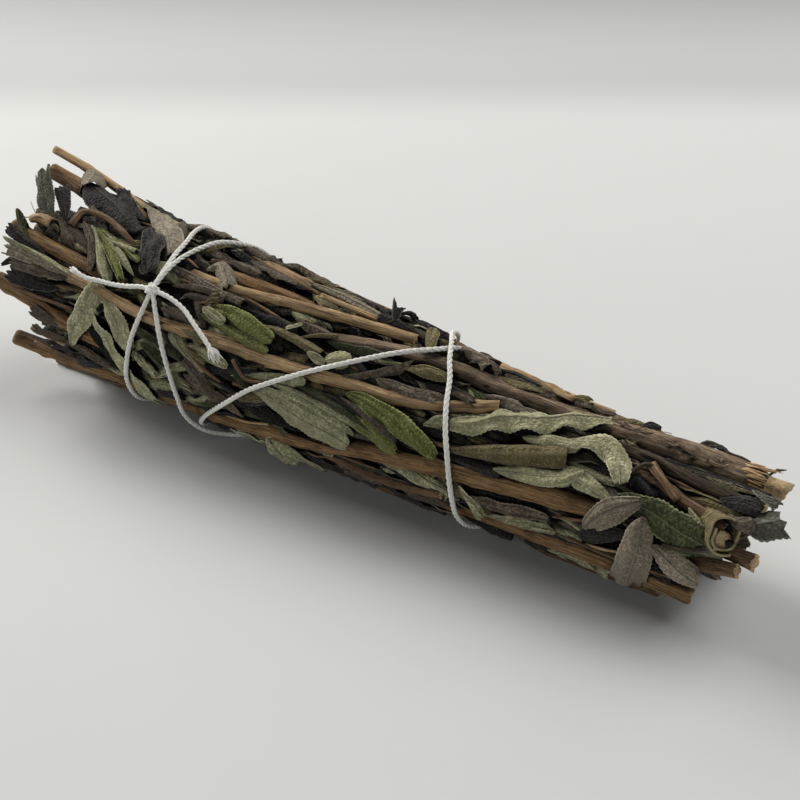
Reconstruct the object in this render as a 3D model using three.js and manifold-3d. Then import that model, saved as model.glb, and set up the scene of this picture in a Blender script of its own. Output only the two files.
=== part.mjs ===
// Sage smudge stick: a bundle of dried sage stems and leaves, tied round with one piece of cotton string.
// Millimetres. X runs along the bundle from the flared leafy end (-X) to the butt of cut stems (+X),
// -Y is the front, and Z is up. The bundle lies on two of its stems at z = 0.

import * as THREE from 'three';
import { mergeVertices } from 'three/addons/utils/BufferGeometryUtils.js';
import Module from 'manifold-3d';

const wasm = await Module();
wasm.setup();

// Driving dimensions of the whole bundle
const STATION_X = [-112, -90, -70, -40, 0, 36, 70, 112];
const HALF_WIDTH = [31, 28.5, 26.5, 26, 24, 21.5, 19.5, 18];
const HALF_HEIGHT = [27, 26, 24.5, 24, 22, 19.5, 18, 17];
const FRAME_SHIFT = new THREE.Vector3(-3, 0, 0);    // puts the origin under the middle of the bundle
const GAP = 0.3;                                    // air kept between pieces that touch

// Stems
const STEM_RING_SPACING = 13;
const REST_STEM_RING_SPACING = 7;
const STEM_SIDES = 7;
const THIN_STEM_SIDES = 6;
const THIN_STEM_RADIUS = 1.5;
const REST_SINK = 0.6;                              // share of its radius at which a resting stem's middle lies

// String
const STRING_RADIUS = 0.75;
const STRING_RIDE = STRING_RADIUS + 0.5;            // height of its middle over the bundle's outline
const STRING_FLOOR = STRING_RADIUS + 0.15;          // lowest height of its middle over the surface below
const STRING_CLEARANCE = 0.1;                       // lowest point of the string over the surface below
const STRING_STEP = 7;
const STRING_SIDES = 6;

// Leaf blades
const BLADE_THICKNESS = 0.75;
const BLADE_STEP = 9;                               // length of blade for each row of faces
const BLADE_COLUMNS = 2;
const FEWEST_BLADE_ROWS = 2;
const MOST_BLADE_ROWS = 4;
const BLADE_WAVE = 0.06;                            // share by which the rows are in turn wider and narrower
const BLADE_DROOP = 0.06;                           // fall of both edges, as a share of the width
const BLADE_RIPPLE = 0.3;
const ROOT_DIP = 1.6;                               // how deep a leaf's foot sinks in
const KEEL_ROOT = 1.2;                              // how far a keel reaches into the core
const LEAF_FLOOR = 0.5;                             // lowest point of any leaf
const CLEANING = 0.07;                              // shortest edge that is kept after cutting

// The pressed core of a spray
const CORE_FROM_X = -92;
const CORE_TO_X = 110;
const CORE_STEPS = 7;
const CORE_ARC_STEPS = 4;
const CORE_SHARE = 0.76;                            // its size against the bundle's outline
const CORE_PULL = 0.03;                             // how far each wedge stands off the middle line

// Leaves laid by rule over the back and the underside
const STREWN_FROM_X = -84;
const STREWN_TO_X = 92;
const STREWN_LENGTH = [24, 36];
const STREWN_WIDTH = [6.4, 9.2];
const STREWN_LIFT = [0.7, 1.2];
const STREWN_LEAN = 14;
const END_ZONE_LEFT = -52;                          // past these places a leaf is shorter
const END_ZONE_RIGHT = 78;
const END_SHARE = 0.75;
const GOLDEN_SHARE = 0.618;

const STEM_COLORS = [0x8a6540, 0x96744a, 0x6a4c3a];
const STRING_COLOR = 0xe6e2d8;

// A repeatable scatter between 0 and 1
function scatter(index, salt) {
  const value = Math.sin(index * 12.9898 + salt * 78.233) * 43758.5453;
  return value - Math.floor(value);
}

function between(low, high, index, salt) {
  return low + (high - low) * scatter(index, salt);
}

function interpolate(x, values) {
  const last = STATION_X.length - 1;
  const clamped = Math.min(Math.max(x, STATION_X[0]), STATION_X[last]);
  let i = 0;
  while (i < last - 1 && clamped > STATION_X[i + 1]) {
    i += 1;
  }
  const share = (clamped - STATION_X[i]) / (STATION_X[i + 1] - STATION_X[i]);
  return values[i] + (values[i + 1] - values[i]) * share;
}

// A place on the bundle: angle 0 is the front, 90 the top, 180 the back, -90 the underside.
// Height is measured outwards from the bundle's outline.
function place(x, angle, height) {
  const turn = THREE.MathUtils.degToRad(angle);
  const halfWidth = interpolate(x, HALF_WIDTH);
  const halfHeight = interpolate(x, HALF_HEIGHT);
  const y = -(halfWidth + height) * Math.cos(turn);
  const z = halfHeight + (halfHeight + height) * Math.sin(turn);
  return new THREE.Vector3(x, y, z);
}

function outward(x, angle) {
  const turn = THREE.MathUtils.degToRad(angle);
  const halfWidth = interpolate(x, HALF_WIDTH);
  const halfHeight = interpolate(x, HALF_HEIGHT);
  return new THREE.Vector3(0, -Math.cos(turn) / halfWidth, Math.sin(turn) / halfHeight).normalize();
}

function toSolid(geometry) {
  const bare = geometry.clone();
  bare.deleteAttribute('normal');
  bare.deleteAttribute('uv');
  const merged = mergeVertices(bare, 1e-4);
  return new wasm.Manifold(new wasm.Mesh({
    numProp: 3,
    vertProperties: new Float32Array(merged.attributes.position.array),
    triVerts: new Uint32Array(merged.index.array),
  }));
}

function toGeometry(solid) {
  const mesh = solid.getMesh();
  const geometry = new THREE.BufferGeometry();
  geometry.setAttribute('position', new THREE.BufferAttribute(mesh.vertProperties, 3));
  geometry.setIndex(new THREE.BufferAttribute(mesh.triVerts, 1));
  geometry.computeVertexNormals();
  return geometry;
}

function unite(solids) {
  return solids.reduce((whole, solid) => whole.add(solid));
}

// The one outer body: loose scraps and sealed hollows fall away
function largestBody(solid) {
  const bodies = solid.decompose();
  return bodies.reduce((best, body) => (body.volume() > best.volume() ? body : best));
}

// A round rod along a curve, with a radius for each share of its length. grow widens it all round and
// lengthens it at both ends, for cutting room for it out of its neighbours.
function rod(curve, steps, sides, radiusAt, floor, grow) {
  const section = new THREE.Shape();
  for (let i = 0; i < sides; i += 1) {
    const turn = (i / sides) * 2 * Math.PI;
    const x = Math.cos(turn);
    const y = Math.sin(turn);
    if (i === 0) {
      section.moveTo(x, y);
    } else {
      section.lineTo(x, y);
    }
  }
  section.closePath();
  const geometry = new THREE.ExtrudeGeometry(section, { steps, extrudePath: curve, bevelEnabled: false });
  const rings = curve.getSpacedPoints(steps);
  const startTangent = curve.getTangent(0);
  const endTangent = curve.getTangent(1);
  const position = geometry.attributes.position;
  const point = new THREE.Vector3();
  for (let i = 0; i < position.count; i += 1) {
    point.fromBufferAttribute(position, i);
    let nearest = 0;
    rings.forEach((ring, j) => {
      if (ring.distanceToSquared(point) < rings[nearest].distanceToSquared(point)) {
        nearest = j;
      }
    });
    point.sub(rings[nearest]).multiplyScalar(radiusAt(nearest / steps) + grow).add(rings[nearest]);
    if (nearest === 0) {
      point.addScaledVector(startTangent, -grow);
    } else if (nearest === steps) {
      point.addScaledVector(endTangent, grow);
    }
    point.z = Math.max(point.z, floor - grow);
    position.setXYZ(i, point.x, point.y, point.z);
  }
  return geometry;
}

// Stems: radius, and the places that the middle runs through as [x, angle, height of the middle].
// A tapered stem has two radii. A resting stem's places are [x, y, lift over the surface below].
const STEMS = [
  { name: 'stem_front_long', radius: [2.4, 2.4], path: [[-102, -33, -2.2], [-88, -40, -2.4], [-72, -43, -2.6],
    [-52, -39, -2.6], [-37, -43, -2.6], [-16, -33, -2.4], [2, -23, -2.4], [18, -9, -2.4], [33, 0, -2.4],
    [46, 7, -2.6], [60, 12, -2.4], [72, 18, -2.4], [84, 21, -3], [98, 24, -5]] },
  { name: 'stem_front_low', radius: [1.9, 2.3], path: [[26, -46, -3.5], [38, -45, -2.4], [53, -40, -2.6],
    [67, -36, -2.3], [80, -32, -2.3], [92, -35, -2.3], [107, -45, -2.3]] },
  { name: 'stem_front_thin', radius: [1.2, 1.2], path: [[4, -36, -3], [20, -34, -1.5], [33, -29, -1.3],
    [44, -21, -1.6]] },
  { name: 'stem_middle', radius: [1.6, 1.6], path: [[-82, 37, -1.8], [-66, 34, -1.6], [-47, 29, -1.7],
    [-36, 30, -1.6], [-19, 32, -1.6], [2, 35, -1.6], [15, 40, -1.6], [29, 44, -1.6], [42, 55, -1.7],
    [52, 70, -1.9]] },
  { name: 'stem_upper_tan', radius: [1.5, 1.7], path: [[-42, 68, -1.9], [-27, 69, -1.5], [-14, 75, -1.5],
    [-3, 80, -1.5], [10, 88, -1.5], [22, 97, -1.6]] },
  { name: 'stem_upper_red', radius: [2, 2], path: [[-36, 78, -2.3], [-23, 81, -2.4], [-13, 85, -3.4],
    [-3, 89, -5.4]] },
  { name: 'branch_butt', radius: [1.8, 3.2], path: [[0, 66, -4.8], [12, 75, -3.8], [22, 83, -3.2],
    [34, 90, -2.9], [46, 91, -2.8], [59, 94, -3], [75, 98, -3.1], [88, 106, -3.1], [101, 112, -3.1],
    [119, 116, -3.4]], slant: 0.9 },
  { name: 'twig_top_right', radius: [1.4, 1.6], path: [[42, 118, -1.8], [54, 117, -1.5], [64, 119, -1.5],
    [74, 124, -1.4]] },
  { name: 'stem_butt_upper', radius: [1.5, 1.5], path: [[84, 82, -3.2], [92, 76, -1.7], [101, 72, -1.6],
    [110, 71, -1.6], [118, 67, -1.8]] },
  { name: 'stem_butt_front', radius: [1.2, 1.5], path: [[88, 62, -2.8], [95, 60, -1.6], [101, 53, -1.5],
    [107, 50, -1.5], [114, 43, -1.5]] },
  { name: 'stem_butt_low', radius: [1.7, 1.7], path: [[84, 2, -7.5], [98, 0, -6], [108, 2, -5],
    [117, 12, -4]] },
  { name: 'stem_butt_inner', radius: [1.9, 1.9], path: [[84, 30, -12], [98, 28, -10.5], [110, 28, -8],
    [121, 33, -6]] },
  { name: 'stem_left_red', radius: [2.1, 2.1], path: [[-103, 53, -2.1], [-95, 50, -2.1], [-85, 48, -2.1],
    [-74, 47, -2.6], [-62, 45, -4.4]] },
  { name: 'stem_left_front', radius: [2.3, 2.2], path: [[-102, 17, -2.3], [-90, 11, -2.3], [-79, 5, -2.3],
    [-69, 0, -2.6], [-54, -6, -4.6]] },
  { name: 'twig_top_left', radius: [1.3, 1.3], path: [[-115, 108, 5.4], [-104, 113, 3], [-94, 118, 0.8],
    [-80, 122, -1.6], [-62, 123, -2.2]] },
  { name: 'stem_top_left', radius: [2.5, 2.3], path: [[-111, 101, 0.2], [-102, 104, -1.5], [-90, 106, -2.8],
    [-76, 108, -3], [-58, 108, -3.4]] },
  { name: 'stem_top_tan', radius: [1.5, 1.5], path: [[-51, 122, -1.8], [-38, 114, -1.6], [-26, 106, -1.5],
    [-16, 103, -1.5], [-8, 101, -1.5]] },
  { name: 'twig_top_thin', radius: [0.9, 0.9], path: [[-7, 94, -0.9], [2, 95, -0.9], [12, 97, -0.9]] },
  { name: 'stem_back_top', radius: [1.8, 2], path: [[-48, 142, -2.2], [-20, 137, -1.9], [10, 136, -1.9],
    [40, 137, -2], [70, 140, -2], [108, 140, -2.1]] },
  { name: 'stem_back_high', radius: [2.2, 2], path: [[-106, 150, -2.2], [-80, 154, -2.2], [-56, 158, -2.4],
    [-20, 158, -2.1], [16, 159, -2.2], [50, 162, -2.1]] },
  { name: 'stem_back_middle', radius: [2.6, 2.6], path: [[-104, 177, -2.6], [-78, 180, -2.6], [-50, 183, -2.8],
    [-10, 186, -2.6], [20, 184, -2.8], [60, 180, -2.6], [112, 177, -2.6]] },
  { name: 'stem_back_low', radius: [1.9, 2.1], path: [[-98, 207, -2], [-60, 210, -2.2], [-20, 212, -2.2],
    [20, 211, -2.1], [54, 209, -2.2], [106, 205, -2.1]] },
  { name: 'stem_rest_front', radius: [2.4, 2.3], rest: true, path: [[-100, -10, 0], [-84, -9.5, 0],
    [-72, -9, 0], [-62, -9, 3.1], [-42, -9, 3.1], [-20, -9, 3.1], [-8, -8.5, 0], [12, -8.5, 0],
    [38, -8, 0], [47, -8, 3.1], [58, -8, 3.1], [67, -7.5, 0], [98, -7, 0]] },
  { name: 'stem_rest_back', radius: [2.4, 2.4], rest: true, path: [[-103, 10.5, 0], [-84, 10, 0],
    [-73, 10, 0], [-64, 10, 3.6], [-42, 9.5, 3.6], [-20, 9.5, 3.6], [-1, 9, 3.6], [10, 9, 0],
    [36, 8.5, 0], [46, 8.5, 3.6], [58, 8.5, 3.6], [68, 8, 0], [103, 7.5, 0]] },
  { name: 'stem_inner_left', radius: [2.4, 2.2], path: [[-107, 70, -13], [-90, 74, -13.5], [-60, 80, -14]] },
  { name: 'stem_inner_low', radius: [2.6, 2.4], path: [[-104, -35, -14], [-86, -38, -14], [-58, -40, -14]] },
  { name: 'stem_inner_right', radius: [2.3, 2.6], path: [[66, 150, -9], [92, 150, -9], [114, 148, -8.5]] },
];

function stemPoint(stem, point) {
  if (stem.rest) {
    return new THREE.Vector3(point[0], point[1], stem.radius[0] * REST_SINK + point[2]);
  }
  return place(point[0], point[1], point[2]);
}

function stemGeometry(stem, grow) {
  const points = stem.path.map((point) => stemPoint(stem, point));
  const curve = new THREE.CatmullRomCurve3(points, false, 'centripetal');
  const spacing = stem.rest ? REST_STEM_RING_SPACING : STEM_RING_SPACING;
  const steps = Math.max(3, Math.round(curve.getLength() / spacing));
  const [start, end] = stem.radius;
  const seed = STEMS.indexOf(stem);
  const sides = Math.max(start, end) <= THIN_STEM_RADIUS ? THIN_STEM_SIDES : STEM_SIDES;
  const radiusAt = (share) => {
    const unevenness = between(0.95, 1.04, Math.round(share * steps), seed);
    return (start + (end - start) * share) * unevenness;
  };
  const geometry = rod(curve, steps, sides, radiusAt, 0, grow);
  if (stem.slant) {
    slantEnd(geometry, points.at(-1), stem.slant);
  }
  return geometry;
}

// The cut end of the thick branch runs back at its lower side
function slantEnd(geometry, end, slant) {
  const position = geometry.attributes.position;
  for (let i = 0; i < position.count; i += 1) {
    if (position.getX(i) > end.x - STEM_RING_SPACING / 3) {
      position.setX(i, position.getX(i) + (position.getZ(i) - end.z) * slant);
    }
  }
}

// The string: two loops from one knot and its two free ends, as [x, angle, height over its normal ride]
const KNOT = [-47, 46, 0.9];
const LOOP_LEFT = [KNOT, [-48, 32, 0], [-49.5, 16, 0], [-51.5, -2, 0], [-54, -20, 0], [-57, -45, 0],
  [-59, -70, 0], [-59, -95, 0], [-58, -120, 0], [-57, -145, 0], [-57, -170, 0], [-57, -195, 0],
  [-57, -218, 0], [-56, -236, 0], [-55, -249, 0], [-53, -261, 0], [-50, -275, 0], [-48.5, -290, 0],
  [-47.5, -301, 0.3], [-47, -314, 0.9]];
const LOOP_RIGHT = [[-46.5, 45, 0.9], [-43, 33, 0.2], [-39, 17, 0], [-36.2, 2, 0], [-35.2, -15, 0],
  [-35.5, -33, 0.8], [-33, -48, 1.6], [-27, -64, 1], [-18, -82, 0], [-10, -100, 0], [-3, -120, 0], [4, -140, 0],
  [10, -160, 0], [16, -180, 0], [21, -200, 0], [25, -221, 0], [28, -239, 0.6], [30, -253, 1.5],
  [33, -265, 1.6], [36, -278, 0.7], [39, -290, 0], [41.7, -306, 0], [44.3, -322, 0], [46.8, -338, 0],
  [48.4, -354, 0], [49.2, -371, 0], [49.2, -390, 0], [50, -410, 0], [52, -432, 0], [53, -455, 0],
  [52, -480, 0], [50, -505, 0], [47, -528, 0], [44, -550, 0], [41, -570, 0], [38, -590, 0],
  [35.5, -609, 0], [33.3, -621, 0], [31, -631, 0], [24, -648, 0], [14.3, -668, 0], [3.7, -686, 0],
  [-3.1, -697, 0], [-10, -708, 0], [-18.3, -725, 0], [-27, -744, 0], [-33, -762, 0], [-37, -780, 0],
  [-39, -800, 0], [-40, -822, 0], [-40, -846, 0], [-40, -870, 0], [-40, -895, 0], [-40, -920, 0],
  [-40, -945, 0], [-40, -970, 0], [-42.8, -984, 0], [-44.5, -997, 0], [-46, -1009, 0.1],
  [-46.5, -1020, 0.5], [-47, -1034, 0.9]];
const TAIL_LEFT = [KNOT, [-51.4, 45, 0.6], [-55.3, 43, 0.2], [-60.2, 41, 0], [-65.4, 40, 0.2], [-69.9, 39, 0.6],
  [-74, 40, 0.8]];
const TAIL_RIGHT = [KNOT, [-40.7, 45, 0.5], [-35.4, 42, 0.2], [-30.2, 36, 0.4], [-25.9, 31, 0.7],
  [-22.4, 26, 0.9]];
const TAIL_END_SIZE = [2.4, 1.5, 1.5];              // half sizes of the frayed lump that ends each tail
const KNOT_SIZE = [2.3, 1.8, 1.8];

function stringCurve(route) {
  const points = route.map(([x, angle, rise]) => {
    const point = place(x, angle, STRING_RIDE + rise);
    point.z = Math.max(point.z, STRING_FLOOR);
    return point;
  });
  return new THREE.CatmullRomCurve3(points, false, 'centripetal');
}

function lump(size, middle, towards, grow) {
  const ball = new THREE.IcosahedronGeometry(1, 1);
  ball.scale(size[0] + grow, size[1] + grow, size[2] + grow);
  const turn = new THREE.Quaternion().setFromUnitVectors(new THREE.Vector3(1, 0, 0), towards);
  ball.applyQuaternion(turn);
  ball.translate(middle.x, middle.y, middle.z);
  return ball;
}

function stringSolid(grow) {
  const strands = [LOOP_LEFT, LOOP_RIGHT, TAIL_LEFT, TAIL_RIGHT].map((route) => {
    const curve = stringCurve(route);
    const steps = Math.round(curve.getLength() / STRING_STEP);
    return toSolid(rod(curve, steps, STRING_SIDES, () => STRING_RADIUS, STRING_CLEARANCE, grow));
  });
  const tailEnds = [TAIL_LEFT, TAIL_RIGHT].map((route) => {
    const curve = stringCurve(route);
    return toSolid(lump(TAIL_END_SIZE, curve.getPoint(1), curve.getTangent(1), grow));
  });
  const knotCurve = stringCurve(TAIL_LEFT);
  const knot = toSolid(lump(KNOT_SIZE, knotCurve.getPoint(0), knotCurve.getTangent(0), grow));
  return unite([...strands, ...tailEnds, knot]);
}

// Leaves: [x, angle] of the root, the middle and the tip, the width, and the height of root, middle and tip.
// Each spray is the pressed core of one part of the bundle with the leaves that stand out of it.
const FRONT_LOW_LEAVES = [
  [[-69, 17], [-58, 2], [-50, -28], 4.8, [-0.9, -0.5, 0.5]],
  [[-68, 10], [-62, -4], [-56, -20], 3, [-0.6, 0, 0]],
  [[-77, -8], [-69, -13], [-60, -14], 3, [-0.4, 0.3, 0.3]],
  [[-76, 2], [-82, -5], [-89, -7], 3.6, [-0.5, 0, 0.6]],
  [[-80, -16], [-88, -19], [-98, -18], 5.5, [-2.5, -2, -1]],
  [[-50, 4], [-47, -2], [-42, -8], 3, [-0.5, 0.2, 0.3]],
  [[-33, 2], [-24, -8], [-14, -14], 4.5, [-0.6, -0.3, 0]],
  [[-18, -2], [-9, -8], [3, -8], 4, [-1.2, -0.6, -0.4]],
  [[-9, -10], [-5, -20], [0, -21], 4, [-2, -1.5, -1]],
  [[-10, -36], [-4, -42], [1, -52], 6.5, [-0.4, 0.9, 1.2]],
  [[0, -36], [7, -44], [13, -50], 4.5, [-0.5, 0.4, 0.4]],
  [[14, -44], [27, -56], [38, -62], 4, [-0.4, 0, 0.2]],
  [[24, -12], [35, -14], [44, -12], 4, [-1.5, -1.2, -1]],
  [[50, 0], [54, -10], [57, -20], 3, [-0.4, 0.7, 0.8]],
  [[52, -6], [63, -3], [74, 3], 3.8, [-0.4, 0.3, 0.3]],
  [[58, -26], [67, -22], [76, -15], 2.4, [-0.3, 0.3, 0.4]],
  [[93, 14], [88, 8], [82, 0], 4.4, [-0.2, 0.5, 0.6]],
  [[92, 24], [95, 4], [96, -34], 6.4, [0.9, 1.2, 1.2]],
  [[98, 6], [105, -3], [113, 6], 5.6, [-0.2, 1, 0.6]],
  [[99, -14], [104, -24], [110, -26], 4.6, [-1.5, -1, -0.6]],
  [[60, -52], [74, -56], [88, -58], 4.5, [-0.5, 0, 0]],
  [[-20, -56], [-34, -60], [-46, -62], 5, [-0.5, -0.4, 0]],
];
const FRONT_LEAVES = [
  [[-76, 37], [-88, 38], [-100, 36], 4, [0.5, 0.8, 0.6]],
  [[-79, 28], [-88, 29], [-98, 26], 3.4, [-0.6, -0.2, 0.2]],
  [[-76, 20], [-86, 22], [-95, 24], 4.2, [-1.5, -1.2, -0.6]],
  [[-75, 30], [-74, 18], [-72, -1], 5, [0.2, 0.9, 1.3]],
  [[-70, 56], [-67, 48], [-63, 42], 4, [-0.4, 0.4, 0.4]],
  [[-66, 24], [-58, 21], [-51, 14], 5, [-0.6, 0.2, 0]],
  [[-50, 20], [-46, 17], [-41, 15], 3, [-0.5, 0.3, 0.4]],
  [[-48, 12], [-43, 6], [-39, 0], 3.6, [-0.6, 0, -0.4]],
  [[-44, 38], [-39, 38], [-33, 37], 3, [-0.6, -0.3, -0.3]],
  [[-34, 21], [-27, 20], [-18, 20], 3.6, [-0.4, -0.5, 0.6]],
  [[-32, 48], [-28, 46], [-23, 44], 3, [-0.4, 0.6, 0.7]],
  [[-27, 53], [-19, 51], [-9, 48], 4.6, [-0.2, 1, 1.1]],
  [[-30, 41], [-19, 40], [-7, 38], 2.8, [-0.3, 0.6, 0.7]],
  [[-18, 18], [-15, 14], [-11, 9], 3.2, [-0.8, 0, 0.3]],
  [[-12, 19], [-3, 25], [5, 30], 2.8, [-0.6, -0.6, 0.4]],
  [[-13, 53], [-4, 52], [6, 50], 2.6, [-0.4, 0.5, 0.6]],
  [[-10, 9], [4, 8], [20, 3], 6.2, [-0.7, 0.9, 1.2]],
  [[-6, 17], [9, 18], [22, 11], 4.4, [-0.7, 0.7, 0.8]],
  [[7, 46], [10, 51], [14, 54], 4.4, [-0.3, 0.6, 0.8]],
  [[6, 22], [14, 24], [20, 20], 3.2, [-0.5, 0.5, 0.6]],
  [[16, 31], [30, 30], [45, 19], 6.4, [-0.4, 1.1, 1.3]],
  [[15, 27], [26, 20], [37, 13], 5, [-0.5, 0.7, 0.9]],
  [[22, 51], [30, 52], [40, 56], 3, [-0.6, 0, 0]],
  [[40, 36], [60, 58], [80, 84], 5.6, [-0.7, 1.3, 1.7]],
  [[44, 27], [61, 38], [75, 50], 5.2, [0.2, 1.3, 1.5]],
  [[58, 24], [69, 31], [79, 46], 4, [-0.4, 0.7, 0.9]],
  [[47, 18], [53, 20], [60, 21], 3, [-1, -0.6, -0.4]],
  [[63, 55], [69, 59], [76, 59], 3.4, [-0.4, 1, 1.2]],
  [[72, 50], [84, 61], [91, 40], 4.4, [0, 1.6, 1.6]],
  [[74, 43], [80, 39], [87, 33], 4, [0, 1, 1.2]],
  [[78, 32], [84, 36], [91, 36], 3, [-0.5, 0.2, 0.2]],
  [[95, 42], [90, 31], [84, 13], 5, [0.6, 1.2, 1.2]],
  [[91, 35], [100, 34], [111, 26], 7.2, [0, 1, 1.1]],
  [[106, 52], [112, 50], [118, 45], 4.2, [-1, 0.2, 0.2]],
];
const TOP_LEAVES = [
  [[-84, 66], [-93, 72], [-101, 80], 3, [0, 2.5, 6]],
  [[-82, 72], [-92, 64], [-99, 62], 3.2, [-1.4, -1.2, -0.5]],
  [[-86, 82], [-96, 84], [-104, 86], 4, [-1.5, -0.8, 0.4]],
  [[-80, 71], [-71, 56], [-64, 45], 3.6, [0, 0.8, 0.8]],
  [[-76, 69], [-66, 57], [-56, 48], 2.6, [0, 0.8, 0]],
  [[-74, 67], [-64, 60], [-58, 54], 3.4, [0, 0.5, 0.5]],
  [[-68, 90], [-82, 94], [-97, 96], 6.4, [-0.4, 0.4, 1]],
  [[-70, 98], [-82, 108], [-91, 116], 4, [-0.3, 0.6, 3]],
  [[-104, 118], [-99, 106], [-94, 94], 6, [3.4, 3.6, 2]],
  [[-74, 112], [-64, 90], [-52, 70], 6.6, [0.4, 0.7, 0]],
  [[-67, 80], [-57, 67], [-49, 54], 5.4, [-0.3, 0.6, -0.4]],
  [[-66, 120], [-58, 100], [-53, 88], 4, [0.2, 0.5, -0.4]],
  [[-50, 84], [-46, 94], [-43, 108], 3, [-0.5, -0.4, -0.3]],
  [[-52, 66], [-40, 66], [-27, 62], 4, [-0.5, -0.4, 0]],
  [[-38, 72], [-35, 79], [-28, 67], 4.6, [-0.3, 0.7, 0.6]],
  [[-36, 88], [-30, 86], [-24, 84], 2.6, [-0.4, 0.5, 0.7]],
  [[-44, 54], [-34, 60], [-22, 60], 2.6, [-0.5, 0, 0.2]],
  [[-32, 98], [-24, 96], [-14, 92], 3.4, [-0.4, 0, 0.2]],
  [[-6, 66], [-1, 65], [5, 64], 3.2, [-1, -0.2, 0]],
  [[5, 60], [13, 64], [22, 70], 3.2, [-0.6, 0.5, 0.4]],
  [[26, 66], [32, 70], [39, 72], 3.8, [-0.5, 0.5, 0.6]],
  [[31, 81], [28, 91], [25, 100], 3.6, [-0.2, 1.3, 3]],
  [[-14, 108], [2, 104], [18, 101], 3.6, [0.8, 1.6, 1]],
  [[22, 106], [17, 100], [11, 97], 3.2, [0.2, 2, 4]],
  [[44, 104], [52, 104], [58, 106], 4.4, [-0.4, 1, 1.6]],
  [[60, 104], [68, 108], [76, 112], 3.2, [-0.5, 0, 0.4]],
  [[86, 92], [94, 90], [103, 88], 3, [-0.8, -0.6, -0.4]],
  [[104, 90], [110, 84], [119, 80], 4, [-1.2, -0.4, 0.2]],
  [[104, 64], [112, 60], [121, 58], 5.4, [-1.2, -0.4, 0.4]],
];
const SPRAYS = [
  { name: 'leaves_front_low', from: -70, to: 5, leaves: FRONT_LOW_LEAVES, color: 0x7d8068 },
  { name: 'leaves_front', from: 5, to: 62, leaves: FRONT_LEAVES, color: 0x6f7d4e },
  { name: 'leaves_top', from: 62, to: 125, leaves: TOP_LEAVES, color: 0x6a6a5c },
  { name: 'leaves_back', from: 125, to: 205, leaves: strewn(12, 130, 201, 11), color: 0x75785f },
  { name: 'leaves_under', from: 205, to: 290, leaves: strewn(9, 212, 284, 29), color: 0x65604f },
];

// Leaves laid by rule over a part that lies away from the front: near the flared end their tips point
// out of it, and further along they point towards the butt
function strewn(count, low, high, salt) {
  const leaves = [];
  for (let i = 0; i < count; i += 1) {
    const root = STREWN_FROM_X + ((STREWN_TO_X - STREWN_FROM_X) * (i + 0.5)) / count;
    const angle = low + (high - low) * ((i * GOLDEN_SHARE + scatter(i, salt) * 0.3) % 1);
    const nearEnd = root < END_ZONE_LEFT || root > END_ZONE_RIGHT;
    const length = between(...STREWN_LENGTH, i, salt + 1) * (nearEnd ? END_SHARE : 1);
    const heading = root < END_ZONE_LEFT ? -1 : 1;
    const lean = between(-STREWN_LEAN, STREWN_LEAN, i, salt + 2);
    const width = between(...STREWN_WIDTH, i, salt + 3);
    const lift = between(...STREWN_LIFT, i, salt + 4);
    leaves.push([[root, angle], [root + heading * length * 0.5, angle + lean * 0.35],
      [root + heading * length, angle + lean], width, [0.3, lift, lift]]);
  }
  return leaves;
}

// The parabola through a start, a middle and an end value
function quadratic([start, middle, end], share) {
  const rest = 1 - share;
  return start * rest * (rest - share) + middle * 4 * share * rest + end * share * (share - rest);
}

// Share of the full width along a sage leaf: a narrow foot, full beyond the middle, a round tip
function leafOutline(share) {
  const swell = Math.sin(Math.PI * Math.min(0.12 + share * 0.8, 0.9)) ** 0.75;
  return Math.max(0.3, swell) * (share === 1 ? 0.75 : 1);
}

// Where a leaf's midrib runs, and the directions along it, across the blade and out of its face
function bladeFrame(leaf, share) {
  const [root, middle, tip, , heights] = leaf;
  const step = 0.02;
  const pathX = (at) => quadratic([root[0], middle[0], tip[0]], at);
  const pathAngle = (at) => quadratic([root[1], middle[1], tip[1]], at);
  const ahead = place(pathX(share + step), pathAngle(share + step), 0);
  const behind = place(pathX(share - step), pathAngle(share - step), 0);
  const along = ahead.sub(behind).normalize();
  const x = pathX(share);
  const side = new THREE.Vector3().crossVectors(along, outward(x, pathAngle(share))).normalize();
  const up = new THREE.Vector3().crossVectors(side, along).normalize();
  const height = quadratic(heights, share) - (share === 0 ? ROOT_DIP : 0);
  return { point: place(x, pathAngle(share), height), along, side, up, x, height };
}

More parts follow.
